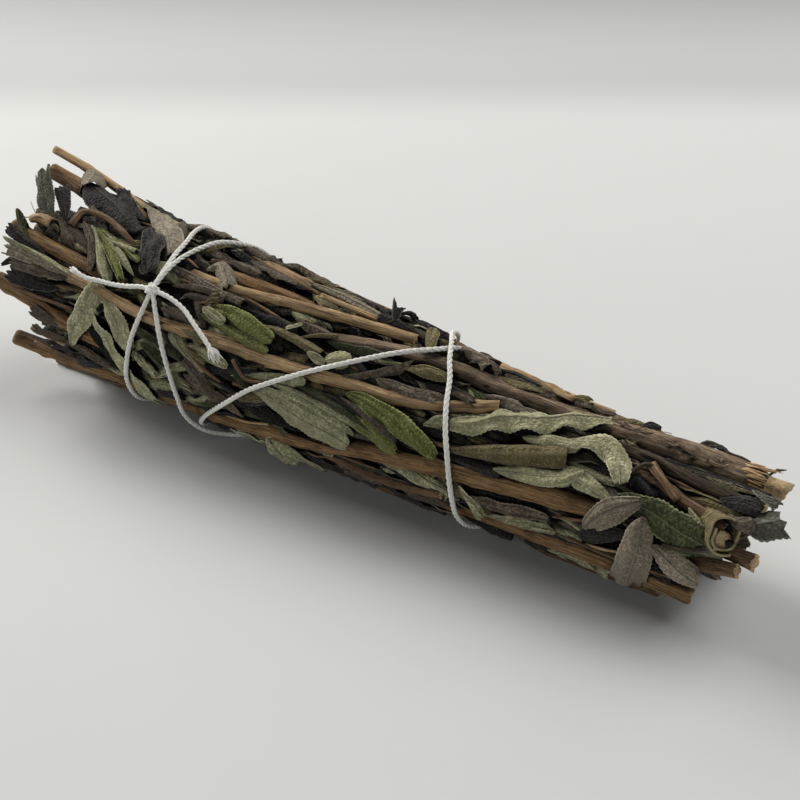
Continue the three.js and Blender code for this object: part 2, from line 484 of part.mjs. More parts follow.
// One leaf: a waved blade of two halves about its midrib. Below, a keel runs from the midrib into the
// core so that the leaf and its core are one body. grow thickens it to cut room for it in a neighbour.
function leafGeometry(leaf, seed, grow) {
  const [root, , tip, width] = leaf;
  const reach = place(root[0], root[1], 0).distanceTo(place(tip[0], tip[1], 0));
  const rows = Math.min(MOST_BLADE_ROWS, Math.max(FEWEST_BLADE_ROWS, Math.round(reach / BLADE_STEP)));
  const sheet = new THREE.PlaneGeometry(1, 1, BLADE_COLUMNS, rows);
  const halfThick = BLADE_THICKNESS / 2 + grow;
  const upper = [];
  const lower = [];
  for (let i = 0; i < sheet.attributes.position.count; i += 1) {
    const across = sheet.attributes.position.getX(i) * 2;
    const share = sheet.attributes.position.getY(i) + 0.5;
    const row = Math.round(share * rows);
    const { point, along, side, up, x, height } = bladeFrame(leaf, share);
    const wave = row % 2 === 0 ? 1 + BLADE_WAVE : 1 - BLADE_WAVE;
    const half = (width / 2) * leafOutline(share) * wave + grow;
    const ripple = between(-BLADE_RIPPLE, BLADE_RIPPLE, seed * 7 + row, 3 + across);
    point.addScaledVector(side, across * half);
    point.addScaledVector(up, ripple - BLADE_DROOP * width * across * across);
    if (row === 0) {
      point.addScaledVector(along, -grow);
    } else if (row === rows) {
      point.addScaledVector(along, grow);
    }
    const toCore = interpolate(x, HALF_HEIGHT) * (1 - CORE_SHARE) + height + KEEL_ROOT;
    const isKeel = across === 0 && (row === 1 || (row === 3 && rows > 3));
    const keel = isKeel ? Math.max(0, toCore) : 0;
    const top = point.clone().addScaledVector(up, halfThick);
    const bottom = point.clone().addScaledVector(up, -halfThick - keel);
    top.z = Math.max(top.z, LEAF_FLOOR + BLADE_THICKNESS + grow);
    bottom.z = Math.max(bottom.z, LEAF_FLOOR - grow);
    upper.push(top);
    lower.push(bottom);
  }
  return thickSheet(sheet, upper, lower, BLADE_COLUMNS, rows);
}

// Closes two like sheets of points into one body with a rim
function thickSheet(sheet, upper, lower, columns, rows) {
  const position = [...upper, ...lower].flatMap((point) => [point.x, point.y, point.z]);
  const base = upper.length;
  const faces = Array.from(sheet.index.array);
  const index = [...faces];
  for (let i = 0; i < faces.length; i += 3) {
    index.push(base + faces[i], base + faces[i + 2], base + faces[i + 1]);
  }
  const at = (column, row) => row * (columns + 1) + column;
  const rim = [];
  for (let column = 0; column < columns; column += 1) {
    rim.push(at(column, 0));
  }
  for (let row = 0; row < rows; row += 1) {
    rim.push(at(columns, row));
  }
  for (let column = columns; column > 0; column -= 1) {
    rim.push(at(column, rows));
  }
  for (let row = rows; row > 0; row -= 1) {
    rim.push(at(0, row));
  }
  rim.forEach((here, i) => {
    const next = rim[(i + 1) % rim.length];
    index.push(here, next, base + next, here, base + next, base + here);
  });
  const geometry = new THREE.BufferGeometry();
  geometry.setAttribute('position', new THREE.Float32BufferAttribute(position, 3));
  geometry.setIndex(index);
  return geometry;
}

// The pressed core of a spray: a wedge of the bundle, from its middle line out to the core's share.
// It is drawn on a circle of radius 1 and stretched to the bundle's outline at each place along it.
function coreGeometry(spray, grow) {
  const widening = grow / HALF_HEIGHT.at(-1);
  const turning = widening / CORE_SHARE;
  const from = THREE.MathUtils.degToRad(spray.from) - turning;
  const to = THREE.MathUtils.degToRad(spray.to) + turning;
  const middle = (from + to) / 2;
  const tip = CORE_PULL - widening / Math.sin((to - from) / 2 - turning);
  const pull = new THREE.Vector2(-Math.cos(middle), Math.sin(middle));
  const outline = [pull.clone().multiplyScalar(tip)];
  for (let i = 0; i <= CORE_ARC_STEPS; i += 1) {
    const turn = from + ((to - from) * i) / CORE_ARC_STEPS;
    const point = new THREE.Vector2(-Math.cos(turn), Math.sin(turn)).multiplyScalar(CORE_SHARE + widening);
    outline.push(point.addScaledVector(pull, CORE_PULL));
  }
  const length = CORE_TO_X - CORE_FROM_X;
  const geometry = new THREE.ExtrudeGeometry(new THREE.Shape(outline), {
    depth: length, steps: CORE_STEPS, bevelEnabled: false,
  });
  const position = geometry.attributes.position;
  for (let i = 0; i < position.count; i += 1) {
    const across = position.getX(i);
    const up = position.getY(i);
    const x = CORE_FROM_X + position.getZ(i);
    const halfWidth = interpolate(x, HALF_WIDTH);
    const halfHeight = interpolate(x, HALF_HEIGHT);
    position.setXYZ(i, x, across * halfWidth, halfHeight + up * halfHeight);
  }
  return geometry;
}

function addPiece(group, name, geometry, color, roughness) {
  const material = new THREE.MeshStandardMaterial({ color, roughness, metalness: 0 });
  const mesh = new THREE.Mesh(geometry, material);
  mesh.name = name;
  group.add(mesh);
}

function buildBundle() {
  const bundle = new THREE.Group();
  bundle.position.copy(FRAME_SHIFT);
  STEMS.forEach((stem, i) => {
    addPiece(bundle, stem.name, stemGeometry(stem, 0), STEM_COLORS[i % STEM_COLORS.length], 0.85);
  });
  addPiece(bundle, 'string', toGeometry(stringSolid(0)), STRING_COLOR, 0.9);

  let taken = unite([...STEMS.map((stem) => toSolid(stemGeometry(stem, GAP))), stringSolid(GAP)]);
  SPRAYS.forEach((spray, k) => {
    const blades = spray.leaves.map((leaf, i) => toSolid(leafGeometry(leaf, k * 50 + i, 0)));
    const whole = unite([toSolid(coreGeometry(spray, 0)), ...blades]).subtract(taken);
    const body = largestBody(whole.simplify(CLEANING));
    addPiece(bundle, spray.name, toGeometry(body), spray.color, 0.95);
    const wide = spray.leaves.map((leaf, i) => toSolid(leafGeometry(leaf, k * 50 + i, GAP)));
    taken = unite([taken, toSolid(coreGeometry(spray, GAP)), ...wide]);
  });
  return bundle;
}

export default buildBundle();
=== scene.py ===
"""A bundle of dried sage, tied with cotton string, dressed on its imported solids.

The stems, the string and the leaves follow the same routes as the solids: places are given as
[x along the bundle, angle round it, height over its outline], in millimetres and degrees.
Angle 0 is the front, 90 the top, 180 the back and -90 the underside.
"""

import math
import random

import bmesh
import bpy
import numpy as np
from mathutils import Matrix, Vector, kdtree
from mathutils.bvhtree import BVHTree


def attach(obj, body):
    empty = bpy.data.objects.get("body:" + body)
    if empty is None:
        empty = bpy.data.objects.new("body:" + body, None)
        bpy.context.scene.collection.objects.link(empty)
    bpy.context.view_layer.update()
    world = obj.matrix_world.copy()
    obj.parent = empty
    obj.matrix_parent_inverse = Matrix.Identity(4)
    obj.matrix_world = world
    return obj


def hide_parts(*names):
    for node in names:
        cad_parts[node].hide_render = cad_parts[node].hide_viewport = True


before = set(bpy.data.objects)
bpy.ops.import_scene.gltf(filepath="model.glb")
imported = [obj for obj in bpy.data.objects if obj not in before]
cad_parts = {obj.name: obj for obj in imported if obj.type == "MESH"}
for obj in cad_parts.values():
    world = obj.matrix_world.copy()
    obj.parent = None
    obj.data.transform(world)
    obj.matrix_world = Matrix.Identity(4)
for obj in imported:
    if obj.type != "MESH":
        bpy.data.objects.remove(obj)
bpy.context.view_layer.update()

# The bundle's outline, the same as the solids'
MM = 0.001
STATION_X = [-112, -90, -70, -40, 0, 36, 70, 112]
HALF_WIDTH = [31, 28.5, 26.5, 26, 24, 21.5, 19.5, 18]
HALF_HEIGHT = [27, 26, 24.5, 24, 22, 19.5, 18, 17]
FRAME_SHIFT = np.array([-3.0, 0.0, 0.0])
SPLINE_STEPS = 24              # points that a curve is worked out with, for each place that it runs through

# Painted shade in the finishes: darker by depth under the outline, and where neighbours close a point in
DEPTH_START = 0.9              # from here below the outline the finishes turn darker
DEPTH_END = 6.0
DEPTH_WEIGHT = 0.7
OPEN_LEFT = -89                # past these x the ends are open, and fully so after OPEN_FADE
OPEN_RIGHT = 99
OPEN_FADE = 11
OPEN_DEPTH = 0.75              # share of the depth, and of the crease, that an open end takes off
OPEN_CREASE = 0.45
CREASE_RAYS = 6                # sideways looks from each point, to find what closes it in
CREASE_LIFT = 0.32
CREASE_REACH = 6.0
CREASE_OUTWARD = 1.4           # weight of the look straight out, against 1 for a sideways one
CREASE_RISE = 0.75             # how far a sideways look rises
CREASE_START = 0.18            # share of closed looks where darkening starts
CREASE_SPAN = 0.52             # and how much more of them makes it full

# Camera, worked out from the photograph's view of the bundle
CAMERA_TARGET = Vector((0.016, 0.0, 0.022))
CAMERA_AWAY = Vector((0.4917, -0.7022, 0.5150))
CAMERA_DISTANCE = 0.340
CAMERA_LENS = 59.4
CAMERA_SENSOR = 36.0
CAMERA_NEAR = 0.01

# Soft lights: turn from straight behind the bundle to the right, rise over the floor, size, power, colour
BACKWARDS = Vector((-0.574, 0.819, 0.0))
LIGHT_DISTANCE = 2.0
SKY_STRENGTH = 0.03
LIGHTS = [
    ("soft_behind_left", -46, 26, 1.4, 60.0, (1.0, 0.98, 0.95)),
    ("soft_right", 66, 50, 1.5, 28.0, (1.0, 0.99, 0.97)),
    ("soft_front", -160, 18, 1.5, 8.5, (0.97, 0.99, 1.0)),
]

# The floor: colours of the paper, and how far behind the bundle painted shade turns it darker, in metres
PAPER = (0.605, 0.612, 0.602)
PAPER_GRAIN = (0.590, 0.597, 0.587)
PAPER_TURNED_SHADE = (0.470, 0.477, 0.470)
PAPER_FAR_SHADE = (0.268, 0.273, 0.269)
TURNED_FROM_TO = (0.262, 0.335)
FAR_FROM_TO = (0.34, 0.60)
PAPER_HALF_SIZE = 4.0


def outline(x):
    return np.interp(x, STATION_X, HALF_WIDTH), np.interp(x, STATION_X, HALF_HEIGHT)


def place(x, angle, height):
    """Points on or over the bundle's outline, in millimetres."""
    x, angle, height = np.broadcast_arrays(np.asarray(x, float), angle, height)
    turn = np.radians(angle)
    wide, high = outline(x)
    return np.stack([x, -(wide + height) * np.cos(turn), high + (high + height) * np.sin(turn)], -1)


def outward(x, angle):
    x, angle = np.broadcast_arrays(np.asarray(x, float), angle)
    turn = np.radians(angle)
    wide, high = outline(x)
    way = np.stack([0 * x, -np.cos(turn) / wide, np.sin(turn) / high], -1)
    return unit(way)


def unit(way):
    return way / np.maximum(np.linalg.norm(way, axis=-1, keepdims=True), 1e-9)


def to_frame(points):
    return (points + FRAME_SHIFT) * MM


def outward_at(points):
    """The way straight out of the bundle, at points anywhere in it."""
    wide, high = outline(points[..., 0])
    return unit(np.stack([0 * wide, points[..., 1] / wide ** 2, (points[..., 2] - high) / high ** 2], -1))


def outline_share(points):
    """How far out points lie: 0 in the middle, 1 on the outline."""
    wide, high = outline(points[:, 0])
    return np.hypot(points[:, 1] / wide, (points[:, 2] - high) / high)


def open_end(points):
    """0 along the bundle, up to 1 at both ends, where light falls in between the leaves."""
    past = np.maximum(points[:, 0] - OPEN_RIGHT, OPEN_LEFT - points[:, 0])
    return np.clip(past / OPEN_FADE, 0, 1)


def painted_shade_weight(points):
    """Weight of painted shade from depth: 0 at the bundle's outline and outside it, up to 1 deep inside; the
    open ends stay light.
    """
    wide, high = outline(points[:, 0])
    under = (1 - outline_share(points)) * (wide + high) / 2
    depth = np.clip((under - DEPTH_START) / (DEPTH_END - DEPTH_START), 0, 1)
    return depth * (1 - OPEN_DEPTH * open_end(points))


SHADED = []


def shaded(piece):
    """Notes a piece whose creases get painted shade once everything stands."""
    SHADED.append(piece)
    return piece


def vertex_places(mesh):
    flat = np.zeros(len(mesh.vertices) * 3)
    mesh.vertices.foreach_get("co", flat)
    return flat.reshape(-1, 3)


def closed_share(tree, spots, out):
    """The share of looks outwards and sideways from each spot that meet something near."""
    round_way = np.stack([0 * out[:, 0], -out[:, 2], out[:, 1]], -1)
    ways = [(out, CREASE_OUTWARD)]
    for k in range(CREASE_RAYS):
        turn = 2 * math.pi * k / CREASE_RAYS
        level = np.array([math.cos(turn), 0, 0]) + round_way * math.sin(turn)
        ways.append((unit(out * CREASE_RISE + level), 1.0))
    closed = np.zeros(len(spots))
    starts = [Vector(spot) for spot in spots + out * CREASE_LIFT * MM]
    for way, weight in ways:
        for i, start in enumerate(starts):
            if tree.ray_cast(start, Vector(way[i]), CREASE_REACH * MM)[0] is not None:
                closed[i] += weight
    return closed / sum(weight for _, weight in ways)


def shade_creases():
    """Keeps on every point a weight of painted shade: how deep it lies and how much its neighbours close it
    in.
    """
    corners = []
    faces = []
    for piece in SHADED:
        start = len(corners)
        corners += [Vector(spot) for spot in vertex_places(piece.data)]
        faces += [[start + i for i in face.vertices] for face in piece.data.polygons]
    tree = BVHTree.FromPolygons(corners, faces)
    for piece in SHADED:
        spots = vertex_places(piece.data)
        points = spots / MM - FRAME_SHIFT
        closed = closed_share(tree, spots, outward_at(points))
        # painted shade: closed-in creases and deep points turn dark in the finishes
        crease = np.clip((closed - CREASE_START) / CREASE_SPAN, 0, 1) * (1 - OPEN_CREASE * open_end(points))
        store = piece.data.attributes.new("painted_shade_weight", "FLOAT", "POINT")
        store.data.foreach_set("value", 1 - (1 - crease) * (1 - DEPTH_WEIGHT * painted_shade_weight(points)))


def lengths_along(path):
    """The length from a path's start to each of its points."""
    return np.concatenate([[0], np.cumsum(np.linalg.norm(np.diff(path, axis=0), axis=1))])


def smooth_path(points, spacing):
    """A centripetal spline through the points, as one list of points that lie evenly along it."""
    points = np.asarray(points, float)
    padded = np.vstack([2 * points[0] - points[1], points, 2 * points[-1] - points[-2]])
    dense = []
    for i in range(1, len(padded) - 2):
        p0, p1, p2, p3 = padded[i - 1:i + 3]
        gaps = [max(np.linalg.norm(b - a) ** 0.5, 1e-4) for a, b in ((p0, p1), (p1, p2), (p2, p3))]
        start = (p1 - p0) / gaps[0] - (p2 - p0) / (gaps[0] + gaps[1]) + (p2 - p1) / gaps[1]
        end = (p2 - p1) / gaps[1] - (p3 - p1) / (gaps[1] + gaps[2]) + (p3 - p2) / gaps[2]
        start, end = start * gaps[1], end * gaps[1]
        t = np.linspace(0, 1, SPLINE_STEPS, endpoint=False)[:, None]
        dense.append(p1 + start * t + (3 * (p2 - p1) - 2 * start - end) * t ** 2
                     + (2 * (p1 - p2) + start + end) * t ** 3)
    dense = np.vstack(dense + [padded[-2][None]])
    lengths = lengths_along(dense)
    count = max(3, int(round(lengths[-1] / spacing)) + 1)
    stations = np.linspace(0, lengths[-1], count)
    return np.stack([np.interp(stations, lengths, dense[:, k]) for k in range(3)], -1)


def route_path(route, spacing):
    """The curve through places that are given as x, angle and height."""
    return smooth_path(place(*np.array(route, float).T), spacing)


def carried_frames(path):
    """Two directions square to a path at each of its points, carried along it without twisting."""
    along = unit(np.gradient(path, axis=0))
    first = np.cross(along[0], [0.0, 0.0, 1.0])
    if np.linalg.norm(first) < 0.1:
        first = np.cross(along[0], [0.0, 1.0, 0.0])
    sides = [unit(first)]
    for way in along[1:]:
        side = sides[-1] - way * np.dot(sides[-1], way)
        sides.append(unit(side))
    sides = np.array(sides)
    return along, sides, np.cross(along, sides)


# Materials


class Shader:
    """A material's node tree, built up from named values."""

    def __init__(self, name, roughness, sheen=0.0, specular=0.3):
        self.material = bpy.data.materials.new(name)
        self.material.use_nodes = True
        self.tree = self.material.node_tree
        self.surface = self.tree.nodes["Principled BSDF"]
        self.surface.inputs["Roughness"].default_value = roughness
        self.surface.inputs["Specular IOR Level"].default_value = specular
        if sheen:
            self.surface.inputs["Sheen Weight"].default_value = sheen
            self.surface.inputs["Sheen Roughness"].default_value = 0.6

    def node(self, kind, **settings):
        node = self.tree.nodes.new(kind)
        for key, value in settings.items():
            setattr(node, key, value)
        return node

    def link(self, start, end):
        self.tree.links.new(start, end)

    def feed(self, socket, value):
        if isinstance(value, bpy.types.NodeSocket):
            self.link(value, socket)
        else:
            socket.default_value = value

    def coordinates(self):
        return self.node("ShaderNodeTexCoord").outputs["Object"]

    def attribute(self, name):
        return self.node("ShaderNodeAttribute", attribute_name=name).outputs["Vector"]

    def parts(self, vector):
        node = self.node("ShaderNodeSeparateXYZ")
        self.link(vector, node.inputs[0])
        return node.outputs

    def scaled(self, vector, scale):
        node = self.node("ShaderNodeVectorMath", operation="MULTIPLY")
        self.link(vector, node.inputs[0])
        node.inputs[1].default_value = scale
        return node.outputs[0]

    def maths(self, operation, first, second=0.0):
        node = self.node("ShaderNodeMath", operation=operation)
        self.feed(node.inputs[0], first)
        self.feed(node.inputs[1], second)
        return node.outputs[0]

    def ramp(self, value, low, high, from_low=0.0, from_high=1.0):
        """A soft step: low where the value is under from_low, high where it is over from_high."""
        node = self.node("ShaderNodeMapRange", interpolation_type="SMOOTHSTEP")
        self.feed(node.inputs["Value"], value)
        numbers = {"From Min": from_low, "From Max": from_high, "To Min": low, "To Max": high}
        for socket, number in numbers.items():
            node.inputs[socket].default_value = number
        return node.outputs[0]

    def noise(self, vector, scale, detail=3.0, rough=0.55):
        node = self.node("ShaderNodeTexNoise")
        self.link(vector, node.inputs["Vector"])
        node.inputs["Scale"].default_value = scale
        node.inputs["Detail"].default_value = detail
        node.inputs["Roughness"].default_value = rough
        return node.outputs["Fac"]

    def cells(self, vector, scale):
        node = self.node("ShaderNodeTexVoronoi")
        self.link(vector, node.inputs["Vector"])
        node.inputs["Scale"].default_value = scale
        return node.outputs["Distance"]

    def blend(self, share, first, second):
        """Mixes two colours, each a tuple or the output of a node."""
        node = self.node("ShaderNodeMix", data_type="RGBA")
        self.feed(node.inputs[0], share)
        self.feed(node.inputs[6], (*first, 1.0) if isinstance(first, tuple) else first)
        self.feed(node.inputs[7], (*second, 1.0) if isinstance(second, tuple) else second)
        return node.outputs[2]

    def bump(self, height, distance, strength=1.0):
        node = self.node("ShaderNodeBump")
        self.link(height, node.inputs["Height"])
        node.inputs["Distance"].default_value = distance
        node.inputs["Strength"].default_value = strength
        return node.outputs[0]

    def painted_shade(self):
        """How far towards black the painted shade takes a point, from its depth in the bundle and its
        closed-in creases.
        """
        depth = self.node("ShaderNodeAttribute", attribute_name="painted_shade_weight").outputs["Fac"]
        return self.ramp(depth, 0.0, 0.985)

    def finish(self, colour, normal):
        self.link(colour, self.surface.inputs["Base Color"])
        self.link(normal, self.surface.inputs["Normal"])
        return self.material


# Patterns of the leaves, per metre of the object or per millimetre of a leaf
LEAF_PEBBLES = 1250.0
LEAF_BLOTCHES = 170.0
LEAF_PATCHES = 75.0
LEAF_FUZZ = 2100.0
LEAF_WRINKLES = (2.8, 0.2, 37.0)       # across, along, and from one leaf to the next
VEIN_PITCH = 2.1
VEIN_SLANT = -3.4
VEIN_BEND = 5.0
# how dark the painted shade in the low borders between the pebbles is
PIT_SHADE = 0.85
MARGIN_SHARE = 0.85
RIB_SHARE = 0.55
# near-black colours of the painted shade deep in the bundle and in closed creases
PAINTED_SHADE_LEAF = (0.003, 0.0025, 0.002)
PAINTED_SHADE_BARK = (0.004, 0.003, 0.002)
LEAF_RELIEF = 0.0005                   # heights of the reliefs, in metres
BARK_RELIEF = 0.0006
WOOD_RELIEF = 0.0003
STRING_RELIEF = 0.00018
CRUSHED_RELIEF = 0.0015


def leaf_material(name, face, shade, margin, rib, dry, pebble=0.5, sheen=0.075, veining=0.16):
    """A dry sage leaf: pebbled face, pale midrib, lighter margin, brown patches, painted shade in its grooves
    and deep inside.
    """
    shader = Shader(name, roughness=0.9, sheen=sheen, specular=0.1)
    where = shader.coordinates()
    place_on_leaf = shader.attribute("leaf_place")
    across, along, tint = shader.parts(place_on_leaf)
    wrinkles = shader.noise(shader.scaled(place_on_leaf, LEAF_WRINKLES), 1.0, detail=4.0, rough=0.6)
    side = shader.maths("ABSOLUTE", across)
    pebbles = shader.cells(where, LEAF_PEBBLES)
    blotches = shader.noise(where, LEAF_BLOTCHES, detail=5.0, rough=0.65)
    patches = shader.noise(where, LEAF_PATCHES, detail=3.0)
    fine = shader.noise(where, LEAF_FUZZ, detail=2.0)
    mottled = shader.blend(shader.ramp(blotches, 0.0, 0.8, 0.40, 0.68), face, shade)
    dried = shader.blend(shader.ramp(patches, 0.0, 0.7, 0.52, 0.70), mottled, dry)
    # painted shade: the troughs of the wrinkles take the darker colour
    wrinkled = shader.blend(shader.ramp(wrinkles, 0.85, 0.0, 0.34, 0.48), dried, shade)
    # painted shade: the low borders between the pebbles take the darker colour
    grooves = shader.ramp(pebbles, 1.0, 0.0, 0.2, 0.72)
    pits = shader.maths("SUBTRACT", 1.0, grooves)
    pitted = shader.blend(shader.maths("MULTIPLY", pits, PIT_SHADE), wrinkled, shade)
    bend = shader.maths("MULTIPLY", blotches, VEIN_BEND)
    slanted = shader.maths("ADD", bend, shader.maths("MULTIPLY", side, VEIN_SLANT))
    veins = shader.maths("SINE", shader.maths("ADD", shader.maths("MULTIPLY", along, VEIN_PITCH), slanted))
    vein_line = shader.ramp(veins, 0.0, 1.0, 0.80, 1.0)
    veined = shader.blend(shader.maths("MULTIPLY", vein_line, veining), pitted, rib)
    rib_line = shader.ramp(side, 1.0, 0.0, 0.02, 0.11)
    ribbed = shader.blend(shader.maths("MULTIPLY", rib_line, RIB_SHARE), veined, rib)
    edge_line = shader.ramp(side, 0.0, 1.0, 0.86, 0.98)
    edged = shader.blend(shader.maths("MULTIPLY", edge_line, MARGIN_SHARE), ribbed, margin)
    tinted = shader.blend(shader.ramp(tint, 0.0, 0.6), edged, shade)
    speckled = shader.blend(shader.ramp(fine, 0.0, 0.4, 0.52, 0.78), tinted, margin)
    # painted shade: towards near black deep in the bundle and in closed creases
    shadowed = shader.blend(shader.painted_shade(), speckled, PAINTED_SHADE_LEAF)
    low_veins = shader.maths("MULTIPLY", vein_line, 0.15)
    ridges = shader.maths("ADD", low_veins, shader.maths("MULTIPLY", wrinkles, 2.4))
    raised_rib = shader.maths("ADD", rib_line, shader.maths("MULTIPLY", fine, 0.5))
    bumps = shader.maths("MULTIPLY", grooves, pebble)
    relief = shader.maths("ADD", bumps, shader.maths("ADD", ridges, raised_rib))
    return shader.finish(shadowed, shader.bump(relief, LEAF_RELIEF))


def bark_material(name, body, streak, pale, flaking=0.3):
    """Dry bark with long fibres and darker patches along the stem."""
    shader = Shader(name, roughness=0.75, specular=0.18)
    where = shader.attribute("bark_place")
    fibres = shader.noise(shader.scaled(where, (1.0, 1.0, 0.035)), 2.6, detail=5.0, rough=0.65)
    patches = shader.noise(shader.scaled(where, (0.6, 0.6, 0.22)), 0.62, detail=4.0)
    scuffs = shader.noise(shader.scaled(where, (1.0, 1.0, 0.35)), 1.9, detail=4.0, rough=0.7)
    fine_grain = shader.noise(shader.scaled(where, (1.0, 1.0, 0.08)), 8.0, detail=3.0)
    streaked = shader.blend(shader.ramp(fibres, 0.85, 0.0, 0.36, 0.54), body, streak)
    worn = shader.blend(shader.ramp(fibres, 0.0, 0.7, 0.54, 0.70), streaked, pale)
    patched = shader.blend(shader.ramp(patches, 0.0, 0.62, 0.50, 0.66), worn, streak)
    scuffed = shader.blend(shader.ramp(scuffs, 0.0, 0.55, 0.58, 0.72), patched, pale)
    grained = shader.blend(shader.ramp(fine_grain, 0.5, 0.0, 0.34, 0.5), scuffed, streak)
    # painted shade: towards near black deep in the bundle and in closed creases
    shadowed = shader.blend(shader.painted_shade(), grained, PAINTED_SHADE_BARK)
    grain = shader.maths("MULTIPLY", fine_grain, 0.35)
    flakes = shader.maths("MULTIPLY", scuffs, flaking)
    relief = shader.maths("ADD", fibres, shader.maths("ADD", grain, flakes))
    return shader.finish(shadowed, shader.bump(relief, BARK_RELIEF))


def cut_wood_material():
    """The cut face of a stem: pale wood with darker patches and rough dark fibres."""
    shader = Shader("cut_wood", roughness=0.85)
    where = shader.coordinates()
    fibres = shader.noise(where, 2600.0, detail=2.0)
    patches = shader.noise(where, 500.0, detail=3.0)
    pale = shader.blend(shader.ramp(patches, 0.0, 0.8, 0.42, 0.78), (0.60, 0.45, 0.26), (0.30, 0.19, 0.095))
    colour = shader.blend(shader.ramp(fibres, 0.5, 0.0, 0.35, 0.55), pale, (0.06, 0.035, 0.018))
    return shader.finish(colour, shader.bump(fibres, WOOD_RELIEF, 0.8))


def string_material():
    """Undyed cotton yarn: fibres wound round each ply, with painted grey shade in the low streaks of the
    fibre relief.
    """
    shader = Shader("cotton_string", roughness=0.95, sheen=0.4, specular=0.15)
    where = shader.attribute("bark_place")
    fibres = shader.noise(shader.scaled(where, (1.0, 1.0, 0.25)), 9.0, detail=3.0, rough=0.7)
    blotches = shader.noise(where, 0.5, detail=2.0)
    white = shader.blend(shader.ramp(blotches, 0.0, 0.6, 0.4, 0.7), (0.90, 0.885, 0.83), (0.80, 0.78, 0.72))
    # painted shade: grey where the fibre relief is low
    colour = shader.blend(shader.ramp(fibres, 0.45, 0.0, 0.34, 0.5), white, (0.55, 0.52, 0.45))
    return shader.finish(colour, shader.bump(fibres, STRING_RELIEF, 0.8))


def core_material():
    """What shows between the leaves deep inside: crushed leaf, coloured near black as painted shade."""
    shader = Shader("crushed_leaf_painted_shade", roughness=0.95, specular=0.1)
    where = shader.coordinates()
    clumps = shader.noise(shader.scaled(where, (0.3, 1.0, 1.0)), 420.0, detail=5.0, rough=0.7)
    # painted shade near black, with the raised clumps a little lighter as painted light
    lit = shader.ramp(clumps, 0.0, 1.0, 0.42, 0.7)
    colour = shader.blend(lit, (0.010, 0.008, 0.006), (0.055, 0.045, 0.03))
    return shader.finish(colour, shader.bump(clumps, CRUSHED_RELIEF))


LEAF_FINISHES = {
    "pale": leaf_material("leaf_pale", (0.690, 0.665, 0.400), (0.245, 0.236, 0.128), (0.820, 0.800, 0.560),
                          (0.480, 0.470, 0.300), (0.260, 0.215, 0.125), pebble=0.4, sheen=0.125),
    "grey": leaf_material("leaf_grey_back", (0.490, 0.415, 0.300), (0.180, 0.150, 0.106),
                          (0.660, 0.590, 0.440), (0.380, 0.355, 0.270), (0.185, 0.150, 0.100), pebble=0.5,
                          sheen=0.1, veining=0.5),
    "green": leaf_material("leaf_green", (0.380, 0.370, 0.112), (0.125, 0.142, 0.036),
                           (0.520, 0.530, 0.230), (0.330, 0.350, 0.140), (0.240, 0.210, 0.080), pebble=0.8),
    "dark": leaf_material("leaf_dark_green", (0.106, 0.116, 0.043), (0.032, 0.039, 0.016),
                          (0.260, 0.265, 0.140), (0.180, 0.190, 0.090), (0.110, 0.090, 0.048), pebble=0.6),
    "brown": leaf_material("leaf_brown_grey", (0.250, 0.204, 0.148), (0.075, 0.058, 0.042),
                           (0.350, 0.300, 0.220), (0.280, 0.230, 0.160), (0.125, 0.090, 0.056), pebble=0.4),
    "black": leaf_material("leaf_near_black", (0.052, 0.047, 0.045), (0.013, 0.011, 0.011),
                           (0.150, 0.134, 0.114), (0.085, 0.074, 0.062), (0.072, 0.058, 0.045), pebble=0.5,
                           veining=0.05),
    "slate": leaf_material("leaf_slate", (0.200, 0.196, 0.148), (0.068, 0.066, 0.050),
                           (0.290, 0.305, 0.255), (0.200, 0.210, 0.170), (0.085, 0.085, 0.064), pebble=0.6),
    "olive": leaf_material("leaf_olive", (0.310, 0.265, 0.118), (0.095, 0.076, 0.034),
                           (0.420, 0.365, 0.200), (0.370, 0.315, 0.165), (0.165, 0.115, 0.054), pebble=0.4),
}
FINISH_NAMES = list(LEAF_FINISHES)
STEM_PALE = bark_material("stem_pale", (0.740, 0.480, 0.245), (0.300, 0.205, 0.118), (0.840, 0.710, 0.500))
STEM_TAN = bark_material("stem_tan", (0.540, 0.370, 0.195), (0.160, 0.098, 0.054), (0.720, 0.540, 0.320))
STEM_WARM = bark_material("stem_warm", (0.340, 0.205, 0.094), (0.088, 0.050, 0.026), (0.540, 0.370, 0.195))
STEM_BROWN = bark_material("stem_brown", (0.250, 0.156, 0.088), (0.070, 0.043, 0.028), (0.440, 0.310, 0.190))
STEM_DARK = bark_material("stem_dark", (0.080, 0.060, 0.038), (0.024, 0.017, 0.013), (0.210, 0.165, 0.090))
BRANCH_BARK = bark_material("branch_bark", (0.330, 0.240, 0.158), (0.086, 0.062, 0.046),
                            (0.660, 0.510, 0.335), flaking=0.9)
CUT_WOOD = cut_wood_material()
STRING_WHITE = string_material()
CRUSHED_LEAF_PAINTED_SHADE = core_material()


# Rods: stems and yarn
CAP_INSET = 0.35               # how far in the inner ring of a rod's end lies, as a share of its radius
ROD_SHIFT = 7.0                # how far the bark's pattern moves from one rod of a piece to the next


